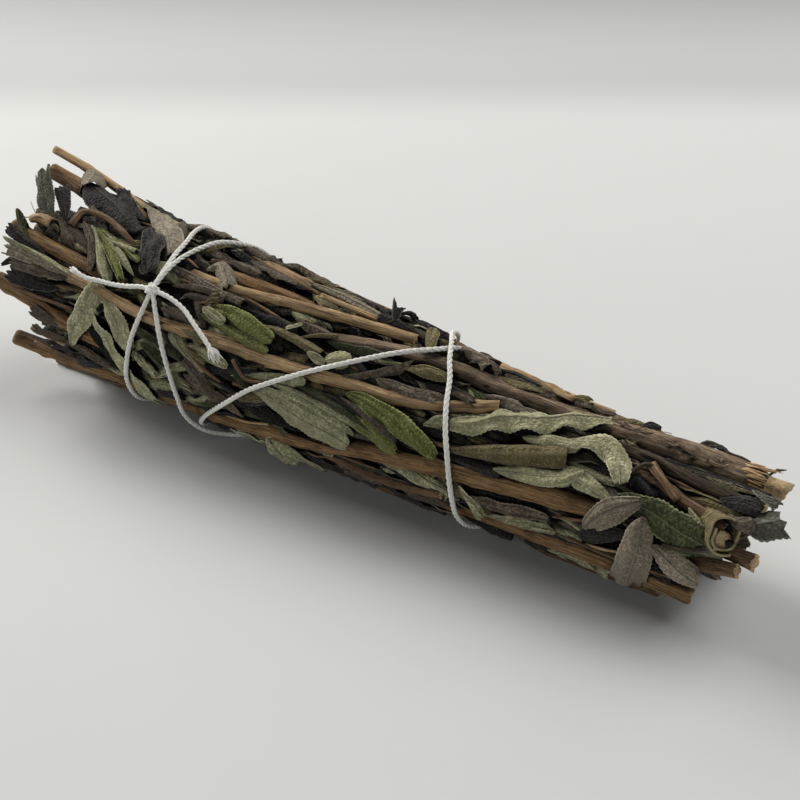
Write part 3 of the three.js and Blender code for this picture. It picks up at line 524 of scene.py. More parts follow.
def add_rod(bm, path, sides, radius_at, cap_material=0, slant=0.0, ragged=0.0, bare_from=None):
    """A closed round rod along a path in millimetres, with radius_at(share, turn, length) for its surface.

    Its last ring can be cut at a slant or ragged, and past the length bare_from its bark is gone.
    Returns the place of each new vertex on the rod: two round coordinates and the length along it.
    """
    rings = len(path)
    made = bmesh.ops.create_cone(bm, cap_ends=True, segments=sides, radius1=1.0, radius2=1.0, depth=1.0)
    edges = {e for v in made["verts"] for e in v.link_edges}
    long_edges = {e for e in edges if abs(e.verts[0].co.z - e.verts[1].co.z) > 0.5}
    caps = {f for v in made["verts"] for f in v.link_faces if len(f.verts) == sides}
    bmesh.ops.subdivide_edges(bm, edges=list(long_edges), cuts=rings - 2)
    inner = bmesh.ops.inset_region(bm, faces=list(caps), thickness=CAP_INSET, depth=0.0)
    for face in list(caps) + inner["faces"]:
        face.material_index = cap_material
    verts = set()
    for face in list(caps) + inner["faces"]:
        verts.update(face.verts)
    todo = list(verts)
    while todo:
        vert = todo.pop()
        for edge in vert.link_edges:
            other = edge.other_vert(vert)
            if other not in verts:
                verts.add(other)
                todo.append(other)
    along, side, up = carried_frames(path)
    length = lengths_along(path)
    if bare_from is not None:
        first_bare = (np.searchsorted(length, bare_from) - 0.5) / (rings - 1) - 0.5
        for face in {f for v in verts for f in v.link_faces}:
            if min(v.co.z for v in face.verts) > first_bare - 1e-6:
                face.material_index = cap_material
    places = {}
    for vert in verts:
        share = vert.co.z + 0.5
        ring = min(rings - 1, int(round(share * (rings - 1))))
        turn = math.atan2(vert.co.y, vert.co.x)
        reach = math.hypot(vert.co.x, vert.co.y)
        radius = radius_at(ring / (rings - 1), turn, length[ring]) * reach
        offset = radius * (math.cos(turn) * side[ring] + math.sin(turn) * up[ring])
        point = path[ring] + offset
        if ring == rings - 1:
            jag = ragged * (math.sin(5 * turn + 1) + math.sin(9 * turn) * 0.6 + math.sin(14 * turn + 2) * 0.4)
            point = point + along[ring] * (offset[2] * slant + jag * reach)
        vert.co = Vector(point)
        places[vert] = (radius * math.cos(turn), radius * math.sin(turn), length[ring])
    return places


def rod_piece(name, rods, materials):
    """One piece made of rods, with the place on each rod kept for the materials, and noted for painted shade
    by depth and creases.
    """
    bm = bmesh.new()
    store = bm.verts.layers.float_vector.new("bark_place")
    for i, rod in enumerate(rods):
        for vert, spot in add_rod(bm, **rod).items():
            vert[store] = (spot[0], spot[1] + ROD_SHIFT * i, spot[2])
    points = np.array([vert.co for vert in bm.verts])
    for vert, spot in zip(bm.verts, to_frame(points)):
        vert.co = Vector(spot)
    return shaded(finish_piece(name, bm, materials))


def finish_piece(name, bm, materials):
    mesh = bpy.data.meshes.new(name)
    bm.to_mesh(mesh)
    bm.free()
    mesh.polygons.foreach_set("use_smooth", [True] * len(mesh.polygons))
    for material in materials:
        mesh.materials.append(material)
    piece = bpy.data.objects.new(name, mesh)
    bpy.context.scene.collection.objects.link(piece)
    return piece


def ripple(seed, terms=5, turns=(2, 7), lengths=(0.15, 0.9)):
    """A soft unevenness over a rod's surface, from -1 to 1, as a function of turn and length."""
    rng = random.Random(seed)
    waves = [(rng.randint(*turns), rng.uniform(*lengths) * rng.choice((-1, 1)), rng.uniform(0, 6.3))
             for _ in range(terms)]
    return lambda turn, length: sum(math.sin(k * turn + f * length + p) for k, f, p in waves) / terms


def tapered(thick, taper):
    """The radius of a thin fibre, which runs out towards its tip."""
    return lambda share, turn, length: thick * (1.1 - taper * share)


# Stems, as in the solids: radius at both ends, finish, and the places that the middle runs through
STEMS = {
    "stem_front_long": ((2.4, 2.4), "warm", [(-102, -33, -2.2), (-88, -40, -2.4), (-72, -43, -2.6),
        (-52, -39, -2.6), (-37, -43, -2.6), (-16, -33, -2.4), (2, -23, -2.4), (18, -9, -2.4), (33, 0, -2.4),
        (46, 7, -2.6), (60, 12, -2.4), (72, 18, -2.4), (84, 21, -3), (98, 24, -5)]),
    "stem_front_low": ((1.9, 2.3), "warm", [(26, -46, -3.5), (38, -45, -2.4), (53, -40, -2.6),
        (67, -36, -2.3), (80, -32, -2.3), (92, -35, -2.3), (107, -45, -2.3)]),
    "stem_front_thin": ((1.2, 1.2), "brown", [(4, -36, -3), (20, -34, -1.5), (33, -29, -1.3),
        (44, -21, -1.6)]),
    "stem_middle": ((1.6, 1.6), "tan", [(-82, 37, -1.8), (-66, 34, -1.6), (-47, 29, -1.7), (-36, 30, -1.6),
        (-19, 32, -1.6), (2, 35, -1.6), (15, 40, -1.6), (29, 44, -1.6), (42, 55, -1.7), (52, 70, -1.9)]),
    "stem_upper_tan": ((1.5, 1.7), "tan", [(-42, 68, -1.9), (-27, 69, -1.5), (-14, 75, -1.5),
        (-3, 80, -1.5), (10, 88, -1.5), (22, 97, -1.6)]),
    "stem_upper_red": ((2, 2), "warm", [(-36, 78, -2.3), (-23, 81, -2.4), (-13, 85, -3.4), (-3, 89, -5.4)]),
    "branch_butt": ((1.8, 3.2), "bark", [(0, 66, -4.8), (12, 75, -3.8), (22, 83, -3.2), (34, 90, -2.9),
        (46, 91, -2.8), (59, 94, -3), (75, 98, -3.1), (88, 106, -3.1), (101, 112, -3.1), (119, 116, -3.4)]),
    "twig_top_right": ((1.4, 1.6), "pale", [(42, 118, -1.8), (54, 117, -1.5), (64, 119, -1.5),
        (74, 124, -1.4)]),
    "stem_butt_upper": ((1.5, 1.5), "dark", [(84, 82, -3.2), (92, 76, -1.7), (101, 72, -1.6),
        (110, 71, -1.6), (118, 67, -1.8)]),
    "stem_butt_front": ((1.2, 1.5), "brown", [(88, 62, -2.8), (95, 60, -1.6), (101, 53, -1.5),
        (107, 49, -1.6), (112, 44, -2.2)]),
    "stem_butt_low": ((1.7, 1.7), "brown", [(84, 2, -7.5), (98, 0, -6), (108, 2, -5), (117, 12, -4)]),
    "stem_butt_inner": ((1.9, 1.9), "brown", [(84, 30, -12), (98, 26, -10.5), (110, 23, -8),
        (119.5, 22, -6.5)]),
    "stem_left_red": ((2.1, 2.1), "russet", [(-103, 53, -2.1), (-95, 50, -2.1), (-85, 48, -2.1),
        (-74, 47, -2.6), (-62, 45, -4.4)]),
    "stem_left_front": ((2.3, 2.2), "russet", [(-102, 17, -2.3), (-90, 11, -2.3), (-79, 5, -2.3),
        (-69, 0, -2.6), (-54, -6, -4.6)]),
    "twig_top_left": ((1.3, 1.3), "pale", [(-115, 108, 5.4), (-104, 113, 3), (-94, 118, 0.8),
        (-80, 122, -1.6), (-62, 123, -2.2)]),
    "stem_top_left": ((2.5, 2.3), "russet", [(-111, 101, 0.2), (-102, 104, -1.5), (-90, 106, -2.8),
        (-76, 108, -3), (-58, 108, -3.4)]),
    "stem_top_tan": ((1.5, 1.5), "tan", [(-51, 122, -1.8), (-38, 114, -1.6), (-26, 106, -1.5),
        (-16, 103, -1.5), (-8, 101, -1.5)]),
    "twig_top_thin": ((0.9, 0.9), "tan", [(-7, 94, -0.9), (2, 95, -0.9), (12, 97, -0.9)]),
    "stem_back_top": ((1.8, 2), "brown", [(-48, 142, -2.2), (-20, 137, -1.9), (10, 136, -1.9),
        (40, 137, -2), (70, 140, -2), (108, 140, -2.1)]),
    "stem_back_high": ((2.2, 2), "tan", [(-106, 150, -2.2), (-80, 154, -2.2), (-56, 158, -2.4),
        (-20, 158, -2.1), (16, 159, -2.2), (50, 162, -2.1)]),
    "stem_back_middle": ((2.6, 2.6), "bark", [(-104, 177, -2.6), (-78, 180, -2.6), (-50, 183, -2.8),
        (-10, 186, -2.6), (20, 184, -2.8), (60, 180, -2.6), (112, 177, -2.6)]),
    "stem_back_low": ((1.9, 2.1), "brown", [(-98, 207, -2), (-60, 210, -2.2), (-20, 212, -2.2),
        (20, 211, -2.1), (54, 209, -2.2), (106, 205, -2.1)]),
    "stem_inner_left": ((2.4, 2.2), "brown", [(-107, 70, -13), (-90, 74, -13.5), (-60, 80, -14)]),
    "stem_inner_low": ((2.6, 2.4), "bark", [(-104, -35, -14), (-86, -38, -14), (-58, -40, -14)]),
    "stem_inner_right": ((2.3, 2.6), "brown", [(66, 150, -9), (92, 150, -9), (114, 148, -8.5)]),
}

# Resting stems: radius at both ends, and places as (x, y, lift over the surface below)
REST_SINK = 0.6                # how high their middle lies on it, as a share of the radius
REST_STEMS = {
    "stem_rest_front": (2.4, 2.3, [(-100, -10, 0), (-84, -9.5, 0), (-72, -9, 0), (-62, -9, 3.1),
        (-42, -9, 3.1), (-20, -9, 3.1), (-8, -8.5, 0), (12, -8.5, 0), (38, -8, 0), (47, -8, 3.1),
        (58, -8, 3.1), (67, -7.5, 0), (98, -7, 0)]),
    "stem_rest_back": (2.4, 2.4, [(-103, 10.5, 0), (-84, 10, 0), (-73, 10, 0), (-64, 10, 3.6),
        (-42, 9.5, 3.6), (-20, 9.5, 3.6), (-1, 9, 3.6), (10, 9, 0), (36, 8.5, 0), (46, 8.5, 3.6),
        (58, 8.5, 3.6), (68, 8, 0), (103, 7.5, 0)]),
}

STEM_FINISHES = {"pale": STEM_PALE, "tan": STEM_TAN, "warm": STEM_WARM, "russet": STEM_WARM,
                 "brown": STEM_BROWN, "dark": STEM_DARK, "bark": BRANCH_BARK}
STEM_RING = 1.2                # length of stem for each ring
STEM_SIDES = 24
NODE_SPACING = 21.0            # length of stem between the pairs of leaf scars
SQUARE_SECTION = 0.035         # how square a stem is, as a share of its radius
SCAR_SWELL = 0.22              # how much a leaf scar swells, and half its length
SCAR_LENGTH = 1.4
ROUGH_BARK = 0.12              # height of the ridges, as a share of the radius
ROUGH_STEM = 0.09
CUT_RAGGED = 0.12              # how ragged a stem's cut end is, as a share of the radius
SPLIT_END = 6.2                # length of bare split wood at the end of the branch
BARE_WOOD = 0.68               # its radius, as a share of the bark's
BUTT_SWELL = (0.24, 0.8, 0.16)         # how much the branch swells near its end, where, and over what share


def stem_radius(start, end, seed, rough):
    """A sage stem's surface: a soft square section, swollen leaf scars and ridges along it."""
    rng = random.Random(seed)
    broad = ripple(seed, terms=4, turns=(0, 2), lengths=(0.1, 0.45))
    ridges = ripple(seed + 50, terms=7, turns=(3, 10), lengths=(0.02, 0.2))
    lumps = ripple(seed + 90, terms=6, turns=(1, 6), lengths=(0.5, 1.6))
    first_scar = rng.uniform(4, NODE_SPACING)
    twist = rng.uniform(-0.02, 0.02)

    def radius_at(share, turn, length):
        radius = start + (end - start) * share
        square = SQUARE_SECTION * math.cos(4 * (turn + twist * length))
        scar_away = abs((length - first_scar + NODE_SPACING / 2) % NODE_SPACING - NODE_SPACING / 2)
        scar = SCAR_SWELL * math.exp(-(scar_away / SCAR_LENGTH) ** 2)
        scar *= 0.55 + 0.45 * math.cos(2 * turn + first_scar)
        uneven = 0.05 * broad(turn, length) + rough * ridges(turn, length) + 0.6 * rough * lumps(turn, length)
        return radius * (0.96 + square + scar + uneven)

    return radius_at


def butt_swell(share):
    """How much thicker the branch is at a share of its length, towards its split end."""
    swell, middle, spread = BUTT_SWELL
    return 1 + swell * np.exp(-((share - middle) / spread) ** 2)


def split_radius(bark, length_all):
    """The branch's surface, which steps down to bare wood at its split end."""
    def radius_at(share, turn, length):
        edge = length_all - SPLIT_END + 0.9 * math.sin(3 * turn) + 0.6 * math.sin(7 * turn + 1)
        full = bark(share, turn, length) * butt_swell(share)
        return full if length < edge else full * BARE_WOOD
    return radius_at


def name_seed(name):
    """A seed of its own for each stem, from the letters of its name."""
    return len(name) * 31 + ord(name[-1]) * 7 + ord(name[6])


def build_stem(name, ends, finish, path):
    rough = ROUGH_BARK if finish == "bark" else ROUGH_STEM
    rod = {
        "path": path, "sides": STEM_SIDES, "cap_material": 1, "ragged": CUT_RAGGED * ends[1],
        "radius_at": stem_radius(*ends, seed=name_seed(name), rough=rough),
    }
    if name == "branch_butt":
        length_all = float(lengths_along(path)[-1])
        rod["radius_at"] = split_radius(rod["radius_at"], length_all)
        rod.update(slant=0.4, ragged=0.2, bare_from=length_all - SPLIT_END + 0.6)
    piece = rod_piece(name + "_bark", [rod], [STEM_FINISHES[finish], CUT_WOOD])
    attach(piece, "root")
    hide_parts(name)
    return piece


def build_stems():
    for name, (ends, finish, route) in STEMS.items():
        build_stem(name, ends, finish, route_path(route, STEM_RING))
    for name, (start, end, route) in REST_STEMS.items():
        points = np.array([(x, y, start * REST_SINK + lift) for x, y, lift in route])
        piece = build_stem(name, (start, end), "brown", smooth_path(points, STEM_RING))
        for vert in piece.data.vertices:
            vert.co.z = max(vert.co.z, 0.0)


# Leaf stalks and other thin bits: radius and route, as for the stems
STALKS = [
    (1.5, [(-90, 61, 0.3), (-94, 61.5, 0.7), (-97, 58, 0.7)]),
    (1.2, [(44, 114, -1.0), (53, 109, -0.2), (60, 103, 0.6), (67, 98, 1.0)]),
    (0.12, [(-96, 62, 0.9), (-98, 64, 1.2), (-101, 68, 1.4)]),
    (0.12, [(-96, 62, 0.9), (-97, 66, 1.3), (-98, 71, 1.7)]),
    (0.15, [(-97, 59, 1.0), (-99, 57, 1.1), (-99, 53, 0.5)]),
]
BROWN_STALKS = [
    (1.0, [(-86, 66, -1), (-85.5, 77, 0.2), (-79, 80, 0.6), (-71.5, 77, 0.3), (-64.5, 72, -0.8)]),
    (1.1, [(92, 69, -0.4), (97, 58, 0.3), (101, 50, 0.1)]),
    (0.45, [(-17, 25, 0.4), (-13.5, 20, 1.2), (-11, 17, 1.2), (-7, 19, 0.2)]),
    (0.5, [(-30, 18, 0), (-26, 13, 0.5), (-20, 8, 0.2)]),
    (0.4, [(-52, 76, 0), (-46, 74, 0.9), (-40, 70, 0.5)]),
]
DARK_STALKS = [
    (0.5, [(97, 116, -0.6), (98, 118, 0.9), (101, 120, 1.0), (104, 120, 0.3), (107, 119, 0.5),
        (109, 118, 0.2)]),
    (0.3, [(101, 17, 0), (105, 19, 0.9), (109, 23, 0.9), (112, 28, 0.4)]),
    (0.65, [(86, 50, -0.6), (89, 57, 0.4), (91, 66, 0.7), (94, 68, -0.2)]),
    (0.35, [(88, 76, -0.4), (93, 74, 0.3), (99, 68, 0.3), (104, 66, -0.2)]),
]
STALK_RING = 1.1
STALK_SIDES = 7


def stalk_radius(radius, lumps):
    """A stalk's surface: it tapers, and the thick ones are the more lumpy."""
    uneven = 0.12 + 0.14 * radius
    return lambda share, turn, length: radius * (1.15 - 0.4 * share + uneven * lumps(turn, length))


def loose_stalks(seed, count):
    """Thin straight leaf stalks that lie among the leaves, along the bundle."""
    rng = random.Random(seed)
    stalks = []
    for _ in range(count):
        x = rng.uniform(-98, 92)
        angle = rng.uniform(-75, 285)
        length = rng.uniform(9, 26)
        lean = rng.gauss(0, 9)
        height = rng.uniform(-1.9, -0.3)
        radius = rng.uniform(0.28, 0.6)
        stalks.append((radius, [(x, angle, height - 0.8), (x + length / 2, angle + lean / 2, height),
                                (x + length, angle + lean, height - 0.5)]))
    return stalks


def build_stalks():
    for name, stalks, finish in (("stalks_tan", STALKS + loose_stalks(61, 22), STEM_TAN),
                                 ("stalks_brown", BROWN_STALKS + loose_stalks(62, 70), STEM_BROWN),
                                 ("stalks_dark", DARK_STALKS, STEM_DARK)):
        rods = []
        for i, (radius, route) in enumerate(stalks):
            path = STRING_PRESS.push(route_path(route, STALK_RING))
            lumps = ripple(500 + i, terms=4, turns=(0, 3), lengths=(0.3, 1.4))
            rods.append({"path": path, "sides": STALK_SIDES, "radius_at": stalk_radius(radius, lumps)})
        piece = rod_piece(name, rods, [finish])
        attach(piece, "root")


# The string, as in the solids: two loops from one knot and its two free ends
STRING_RADIUS = 0.75
STRING_RIDE = STRING_RADIUS + 0.5      # how high its middle lies over the outline
STRING_FLOOR = STRING_RADIUS + 0.15    # and over the table at least
STRING_RING = 0.55
PLY_RADIUS = 0.37
PLY_OFFSET = 0.32              # how far the middle of a ply lies from the string's
PLY_TURN = 5.0                 # length of string for one turn of its plies
PLY_SIDES = 7
KNOT = (-47, 46, 0.9)
LOOP_LEFT = [KNOT, (-48, 32, 0), (-49.5, 16, 0), (-51.5, -2, 0), (-54, -20, 0), (-57, -45, 0), (-59, -70, 0),
    (-59, -95, 0), (-58, -120, 0), (-57, -145, 0), (-57, -170, 0), (-57, -195, -0.4), (-57, -218, -0.7),
    (-56, -236, -0.9), (-55, -249, 0), (-53, -261, 0), (-50, -275, 0), (-48.5, -290, 0), (-47.5, -301, 0.3),
    (-47, -314, 0.9)]
LOOP_RIGHT = [
    (-46.5, 45, 0.9), (-43, 33, 0.2), (-39, 17, 0), (-36.2, 2, 0), (-35.2, -15, 0), (-35.5, -33, 0.8),
    (-33, -48, 1.6), (-27, -64, 1), (-18, -82, 0), (-10, -100, 0), (-3, -120, 0), (4, -140, 0),
    (10, -160, 0), (16, -180, 0), (21, -200, 0), (25, -221, 0), (28, -239, 0.6), (30, -253, 1.5),
    (33, -265, 1.6), (36, -278, 0.7), (39, -290, 0), (41.7, -306, 0), (44.3, -322, 0), (46.8, -338, 0),
    (48.4, -354, 0), (49.2, -371, 0), (49.2, -390, 0), (50, -410, 0), (52, -432, 0), (53, -455, 0),
    (52, -480, 0), (50, -505, 0), (47, -528, 0), (44, -550, -0.5), (41, -570, -0.8), (38, -590, -1.7),
    (35.5, -609, -1.2), (33.3, -621, -0.2), (31, -631, 0), (24, -648, 0), (14.3, -668, 0), (3.7, -686, 0),
    (-3.1, -697, 0), (-10, -708, 0), (-18.3, -725, 0), (-27, -744, 0), (-33, -762, 0), (-37, -780, 0),
    (-39, -800, 0), (-40, -822, 0), (-40, -846, 0), (-40, -870, 0), (-40, -895, -0.4), (-40, -920, -0.9),
    (-40, -945, -1.4), (-40, -970, -0.7), (-42.8, -984, 0), (-44.5, -997, 0), (-46, -1009, 0.1),
    (-46.5, -1020, 0.5), (-47, -1034, 0.9),
]
TAIL_LEFT = [KNOT, (-51.4, 45, 0.6), (-55.3, 43, 0.2), (-60.2, 41, 0), (-65.4, 40, 0.2), (-69.9, 39, 0.6),
    (-74, 40, 0.8)]
TAIL_RIGHT = [KNOT, (-40.7, 45, 0.5), (-35.4, 42, 0.2), (-30.2, 36, 0.4), (-25.9, 31, 0.7), (-22.4, 26, 0.9)]
FRAY_COUNT = 46
FRAY_RADII = (0.17, 0.3)
FRAY_START = 1.2               # how far before the cut end its fibres part
KNOT_TURN = 4.2 * math.pi      # how far the knot's turns go round, and their size out, across and along
KNOT_OUT = 1.05
KNOT_ACROSS = 1.25
KNOT_ALONG = 2.2
KNOT_SINK = 0.3


def string_path(route, spacing=STRING_RING):
    x, angle, height = np.array(route, float).T
    points = place(x, angle, STRING_RIDE + height)
    points[:, 2] = np.maximum(points[:, 2], STRING_FLOOR)
    return smooth_path(points, spacing)


def ply_rods(path, phase=0.0):
    """The three plies that wind round a string's path."""
    _, side, up = carried_frames(path)
    length = lengths_along(path)
    rods = []
    for ply in range(3):
        turn = 2 * math.pi * (length / PLY_TURN + ply / 3) + phase
        around = np.cos(turn)[:, None] * side + np.sin(turn)[:, None] * up
        rods.append({"path": path + around * PLY_OFFSET, "sides": PLY_SIDES, "radius_at": ply_radius(ply)})
    return rods


def ply_radius(seed):
    lumps = ripple(seed + 300, terms=5, turns=(0, 3), lengths=(0.6, 4.0))
    return lambda share, turn, length: PLY_RADIUS * (1 + 0.10 * lumps(turn, length))


def fray_rods(path, seed, reach, spread):
    """Loose fibres that swell out of a cut end."""
    rng = random.Random(seed)
    along, side, up = carried_frames(path)
    rods = []
    for _ in range(FRAY_COUNT):
        turn = rng.uniform(0, 2 * math.pi)
        out = math.cos(turn) * side[-1] + 0.6 * math.sin(turn) * up[-1]
        far = rng.uniform(0.35, 1.0) * reach
        wide = rng.random() ** 0.6 * spread
        start = path[-1] - along[-1] * FRAY_START + out * 0.3
        middle = start + along[-1] * far * 0.55 + out * wide * 0.75
        end = start + along[-1] * far + out * wide * rng.uniform(0.7, 1.15)
        fibre = tapered(rng.uniform(*FRAY_RADII), 0.6)
        rods.append({"path": smooth_path([start, middle, end], 0.6), "sides": 5, "radius_at": fibre})
    return rods


def knot_path():
    """Two turns of the string round where its strands cross, drawn tight."""
    middle = place(KNOT[0], KNOT[1], STRING_RIDE + KNOT[2])
    out = outward(KNOT[0], KNOT[1])
    strands = unit(place(-47.5, 56, 2) - place(-47.5, 36, 2))
    across = np.cross(out, strands)
    turns = np.linspace(0, KNOT_TURN, 34)
    round_strands = np.cos(turns)[:, None] * across * KNOT_ACROSS + np.sin(turns)[:, None] * out * KNOT_OUT
    drift = (turns / turns[-1] - 0.5)[:, None] * strands * KNOT_ALONG
    return smooth_path(middle + round_strands + drift - out * KNOT_SINK, STRING_RING)


def build_string():
    rods = []
    for seed, route in enumerate((LOOP_LEFT, LOOP_RIGHT, TAIL_LEFT, TAIL_RIGHT)):
        rods += ply_rods(string_path(route), phase=seed * 1.3)
    rods += ply_rods(knot_path())
    rods += fray_rods(string_path(TAIL_LEFT), seed=3, reach=2.6, spread=0.75)
    rods += fray_rods(string_path(TAIL_RIGHT), seed=8, reach=4.6, spread=1.5)
    piece = rod_piece("string_plies", rods, [STRING_WHITE])
    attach(piece, "root")
    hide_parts("string")


# What lies firm on the leaves: how far beside it they still give way, and over what width that fades out
PRESS_BESIDE = 3.4
PRESS_FADE = 2.4
PRESS_SEARCH = 3.6             # how far past its radius points are looked at


class Press:
    """Something firm that leaves lie under: points along its middle, each with its radius.

    Leaves end at flat radii under its middle, and rise by the slope beside it.
    """

    def __init__(self, paths, radii, flat, slope):
        self.points = np.vstack(paths)
        self.radii = np.concatenate([np.broadcast_to(r, len(p)) for p, r in zip(paths, radii)])
        self.flat = flat
        self.slope = slope
        self.tree = kdtree.KDTree(len(self.points))
        for i, point in enumerate(self.points):
            self.tree.insert(Vector(point), i)
        self.tree.balance()
        self.reach = float(self.radii.max()) + PRESS_SEARCH

    def push(self, points):
        """Moves the points that stand in it or over it down to just under its middle."""
        for i, point in enumerate(points):
            _, index, away = self.tree.find(point)
            if away > self.reach:
                continue
            out = outward_at(self.points[index])
            radius = self.radii[index]
            apart = point - self.points[index]
            over = float(np.dot(apart, out))
            beside = float(np.linalg.norm(apart - over * out))
            allowed = -self.flat * radius + self.slope * max(0.0, beside - radius)
            if over > allowed and beside < radius + PRESS_BESIDE:
                share = min(1.0, (radius + PRESS_BESIDE - beside) / PRESS_FADE)
                points[i] = point - out * (over - allowed) * share
        return points


STRING_PRESS = Press([string_path(route, 0.8) for route in (LOOP_LEFT, LOOP_RIGHT, TAIL_LEFT, TAIL_RIGHT)],
                     [STRING_RADIUS] * 4, flat=1.4, slope=0.5)
STEM_PRESS = Press([route_path(route, 1.0) for _, _, route in STEMS.values()],
                   [max(ends) for ends, _, _ in STEMS.values()], flat=0.45, slope=0.9)


# Leaves
LEAF_THICKNESS = 0.26
LEAF_FLOOR = 0.35              # how low a leaf's middle may come over the table
FOOT_POWER = 0.6               # how slowly a leaf widens from its foot
TOOTH = 1.15                   # length of one round tooth of the margin
TOOTH_DEPTH = 0.045            # and its depth, as a share of half the width
TORN_BELOW = 0.9               # leaves with less than this share left end in a torn edge
TORN_SHARE = 0.82              # what is left of a leaf that is torn by chance
TORN_JAG = 2.2                 # size of the jags of a torn edge
TORN_WAVE = 0.06               # unevenness of a torn tip and of a whole one, as a share of the length
TIP_WAVE = 0.012
FULL_ROOM = 1.3                # half width under which the unevenness fades

# How uneven a leaf is: a measure for every leaf, and how much its wildness adds
TILT = (0.10, 0.28)            # radians that it leans sideways
TWIST = (0.25, 0.50)           # radians that it turns from foot to tip
CRUMPLE = (0.10, 0.26)
PEBBLES = (0.03, 0.05)

# Leaves laid by rule
LAID_LEAF_RING = 1.6           # length of leaf for each row of faces
DEEP_LEAF_RING = 2.6
LAID_COLUMNS = 4               # faces across such a leaf
LAID_FROM_TO = (-96, 108)      # x between which they start
GOLDEN_TURN = 137.5            # degrees from one leaf of an end to the next

# Where the laid leaves stay low, in front of the thick branch: it deepens over these x and angles
GROOVE_DEPTH = 3.4
GROOVE_EDGE = 2.0              # how high they may stand where it starts
GROOVE_X = [78, 86]
GROOVE_ANGLES = [74, 82, 101, 108]

# Forms of a leaf: fold at the midrib and curl towards the margins, in degrees, ripple of the margin,
# how narrow the tip is, and the share of the leaf that is left
FORMS = {
    "flat": (5, 22, 0.32, 0.30, 1.0),
    "fold": (44, 16, 0.28, 0.45, 1.0),
    "curl": (4, 62, 0.30, 0.40, 1.0),
    "roll": (0, 190, 0.12, 0.15, 0.92),
    "cup": (-24, -34, 0.35, 0.40, 1.0),
    "point": (10, 28, 0.28, 0.85, 1.0),
    "torn": (8, 26, 0.34, 0.25, 0.78),
    "wavy": (12, 30, 0.85, 0.42, 0.95),
    "cap": (12, 70, 0.25, 0.22, 0.84),
    "cut": (8, 22, 0.30, 0.50, 0.62),
}

# How far the leaves reach at both ends: angles, x at the left end and x at the right end
REACH_ANGLES = [-90, -40, 5, 25, 45, 70, 95, 120, 180, 230, 270]
REACH_LEFT = [-84, -85, -88, -97, -102, -101, -98, -93, -98, -92, -84]
REACH_RIGHT = [100, 101, 106, 112, 116, 120, 118, 113, 112, 107, 100]

# The leaves seen one by one: finish, form, then foot, middle and tip as (x, angle), width, and the heights
# of those three over the outline
FRONT_LOW_LEAVES = [
    ("pale", "flat", (-69.5, 18), (-58, -2), (-50, -46), 8.0, (-0.5, 0.6, 0.9)),
    ("black", "fold", (-68, 10), (-62, -4), (-56, -20), 3, (-0.6, 0, 0)),
    ("brown", "curl", (-77, -8), (-69, -13), (-60, -14), 3, (-0.4, 0.3, 0.3)),
    ("brown", "torn", (-75, 1), (-81, 4), (-87, 7), 4.2, (-0.5, 0.3, 0.9)),
    ("brown", "torn", (-76, -8), (-81.5, -8), (-87, -6), 3.6, (-0.6, 0, 0.6)),
    ("black", "torn", (-72, -15), (-78, -18), (-84, -19), 4.5, (-2.0, -1.2, -0.6)),
    ("pale", "curl", (-50, 4), (-47, -2), (-42, -8), 3, (-0.5, 0.2, 0.3)),
    ("brown", "curl", (-33, 2), (-24, -8), (-14, -14), 4.5, (-0.6, -0.3, 0)),
    ("black", "fold", (-18, -2), (-9, -8), (3, -8), 4, (-1.2, -0.6, -0.4)),
    ("dark", "fold", (-9, -10), (-5, -20), (0, -21), 4, (-2, -1.5, -1)),
    ("pale", "torn", (-4, -32), (1, -42), (5, -54), 5.0, (-0.4, 0.9, 1.6)),
    ("black", "curl", (2, -38), (8, -45), (13, -50), 4.0, (-0.5, 0.2, 0.4)),
    ("dark", "curl", (14, -44), (27, -56), (38, -62), 4, (-0.4, 0, 0.2)),
    ("black", "fold", (24, -14), (35, -17), (44, -16), 4, (-2.2, -2.0, -1.8)),
    ("pale", "curl", (50, 0), (54, -10), (57, -20), 3, (-0.4, 0.7, 0.8)),
    ("brown", "curl", (52, -6), (63, -3), (74, 3), 3.8, (-0.4, 0.3, 0.3)),
    ("pale", "fold", (58, -18), (67, -14), (76, -7), 2.6, (-0.3, 0.4, 0.5)),
    ("black", "flat", (93, 14), (88, 8), (82, 0), 4.4, (-0.2, 0.5, 0.6)),
    ("grey", "cut", (95.5, 31), (96, 6), (92.5, -44), 9.3, (0.9, 1.3, 1.3)),
    ("grey", "curl", (98.5, 12), (105.5, 2), (110.5, -2), 6.6, (-0.1, 1, 0.8)),
    ("black", "fold", (94, -16), (99, -22), (103, -25), 4.2, (-2.2, -1.8, -1.4)),
    ("brown", "curl", (60, -56), (74, -60), (88, -62), 4.2, (-0.9, -0.6, -0.6)),
    ("black", "curl", (-20, -56), (-34, -60), (-46, -62), 5, (-0.5, -0.4, 0)),
]
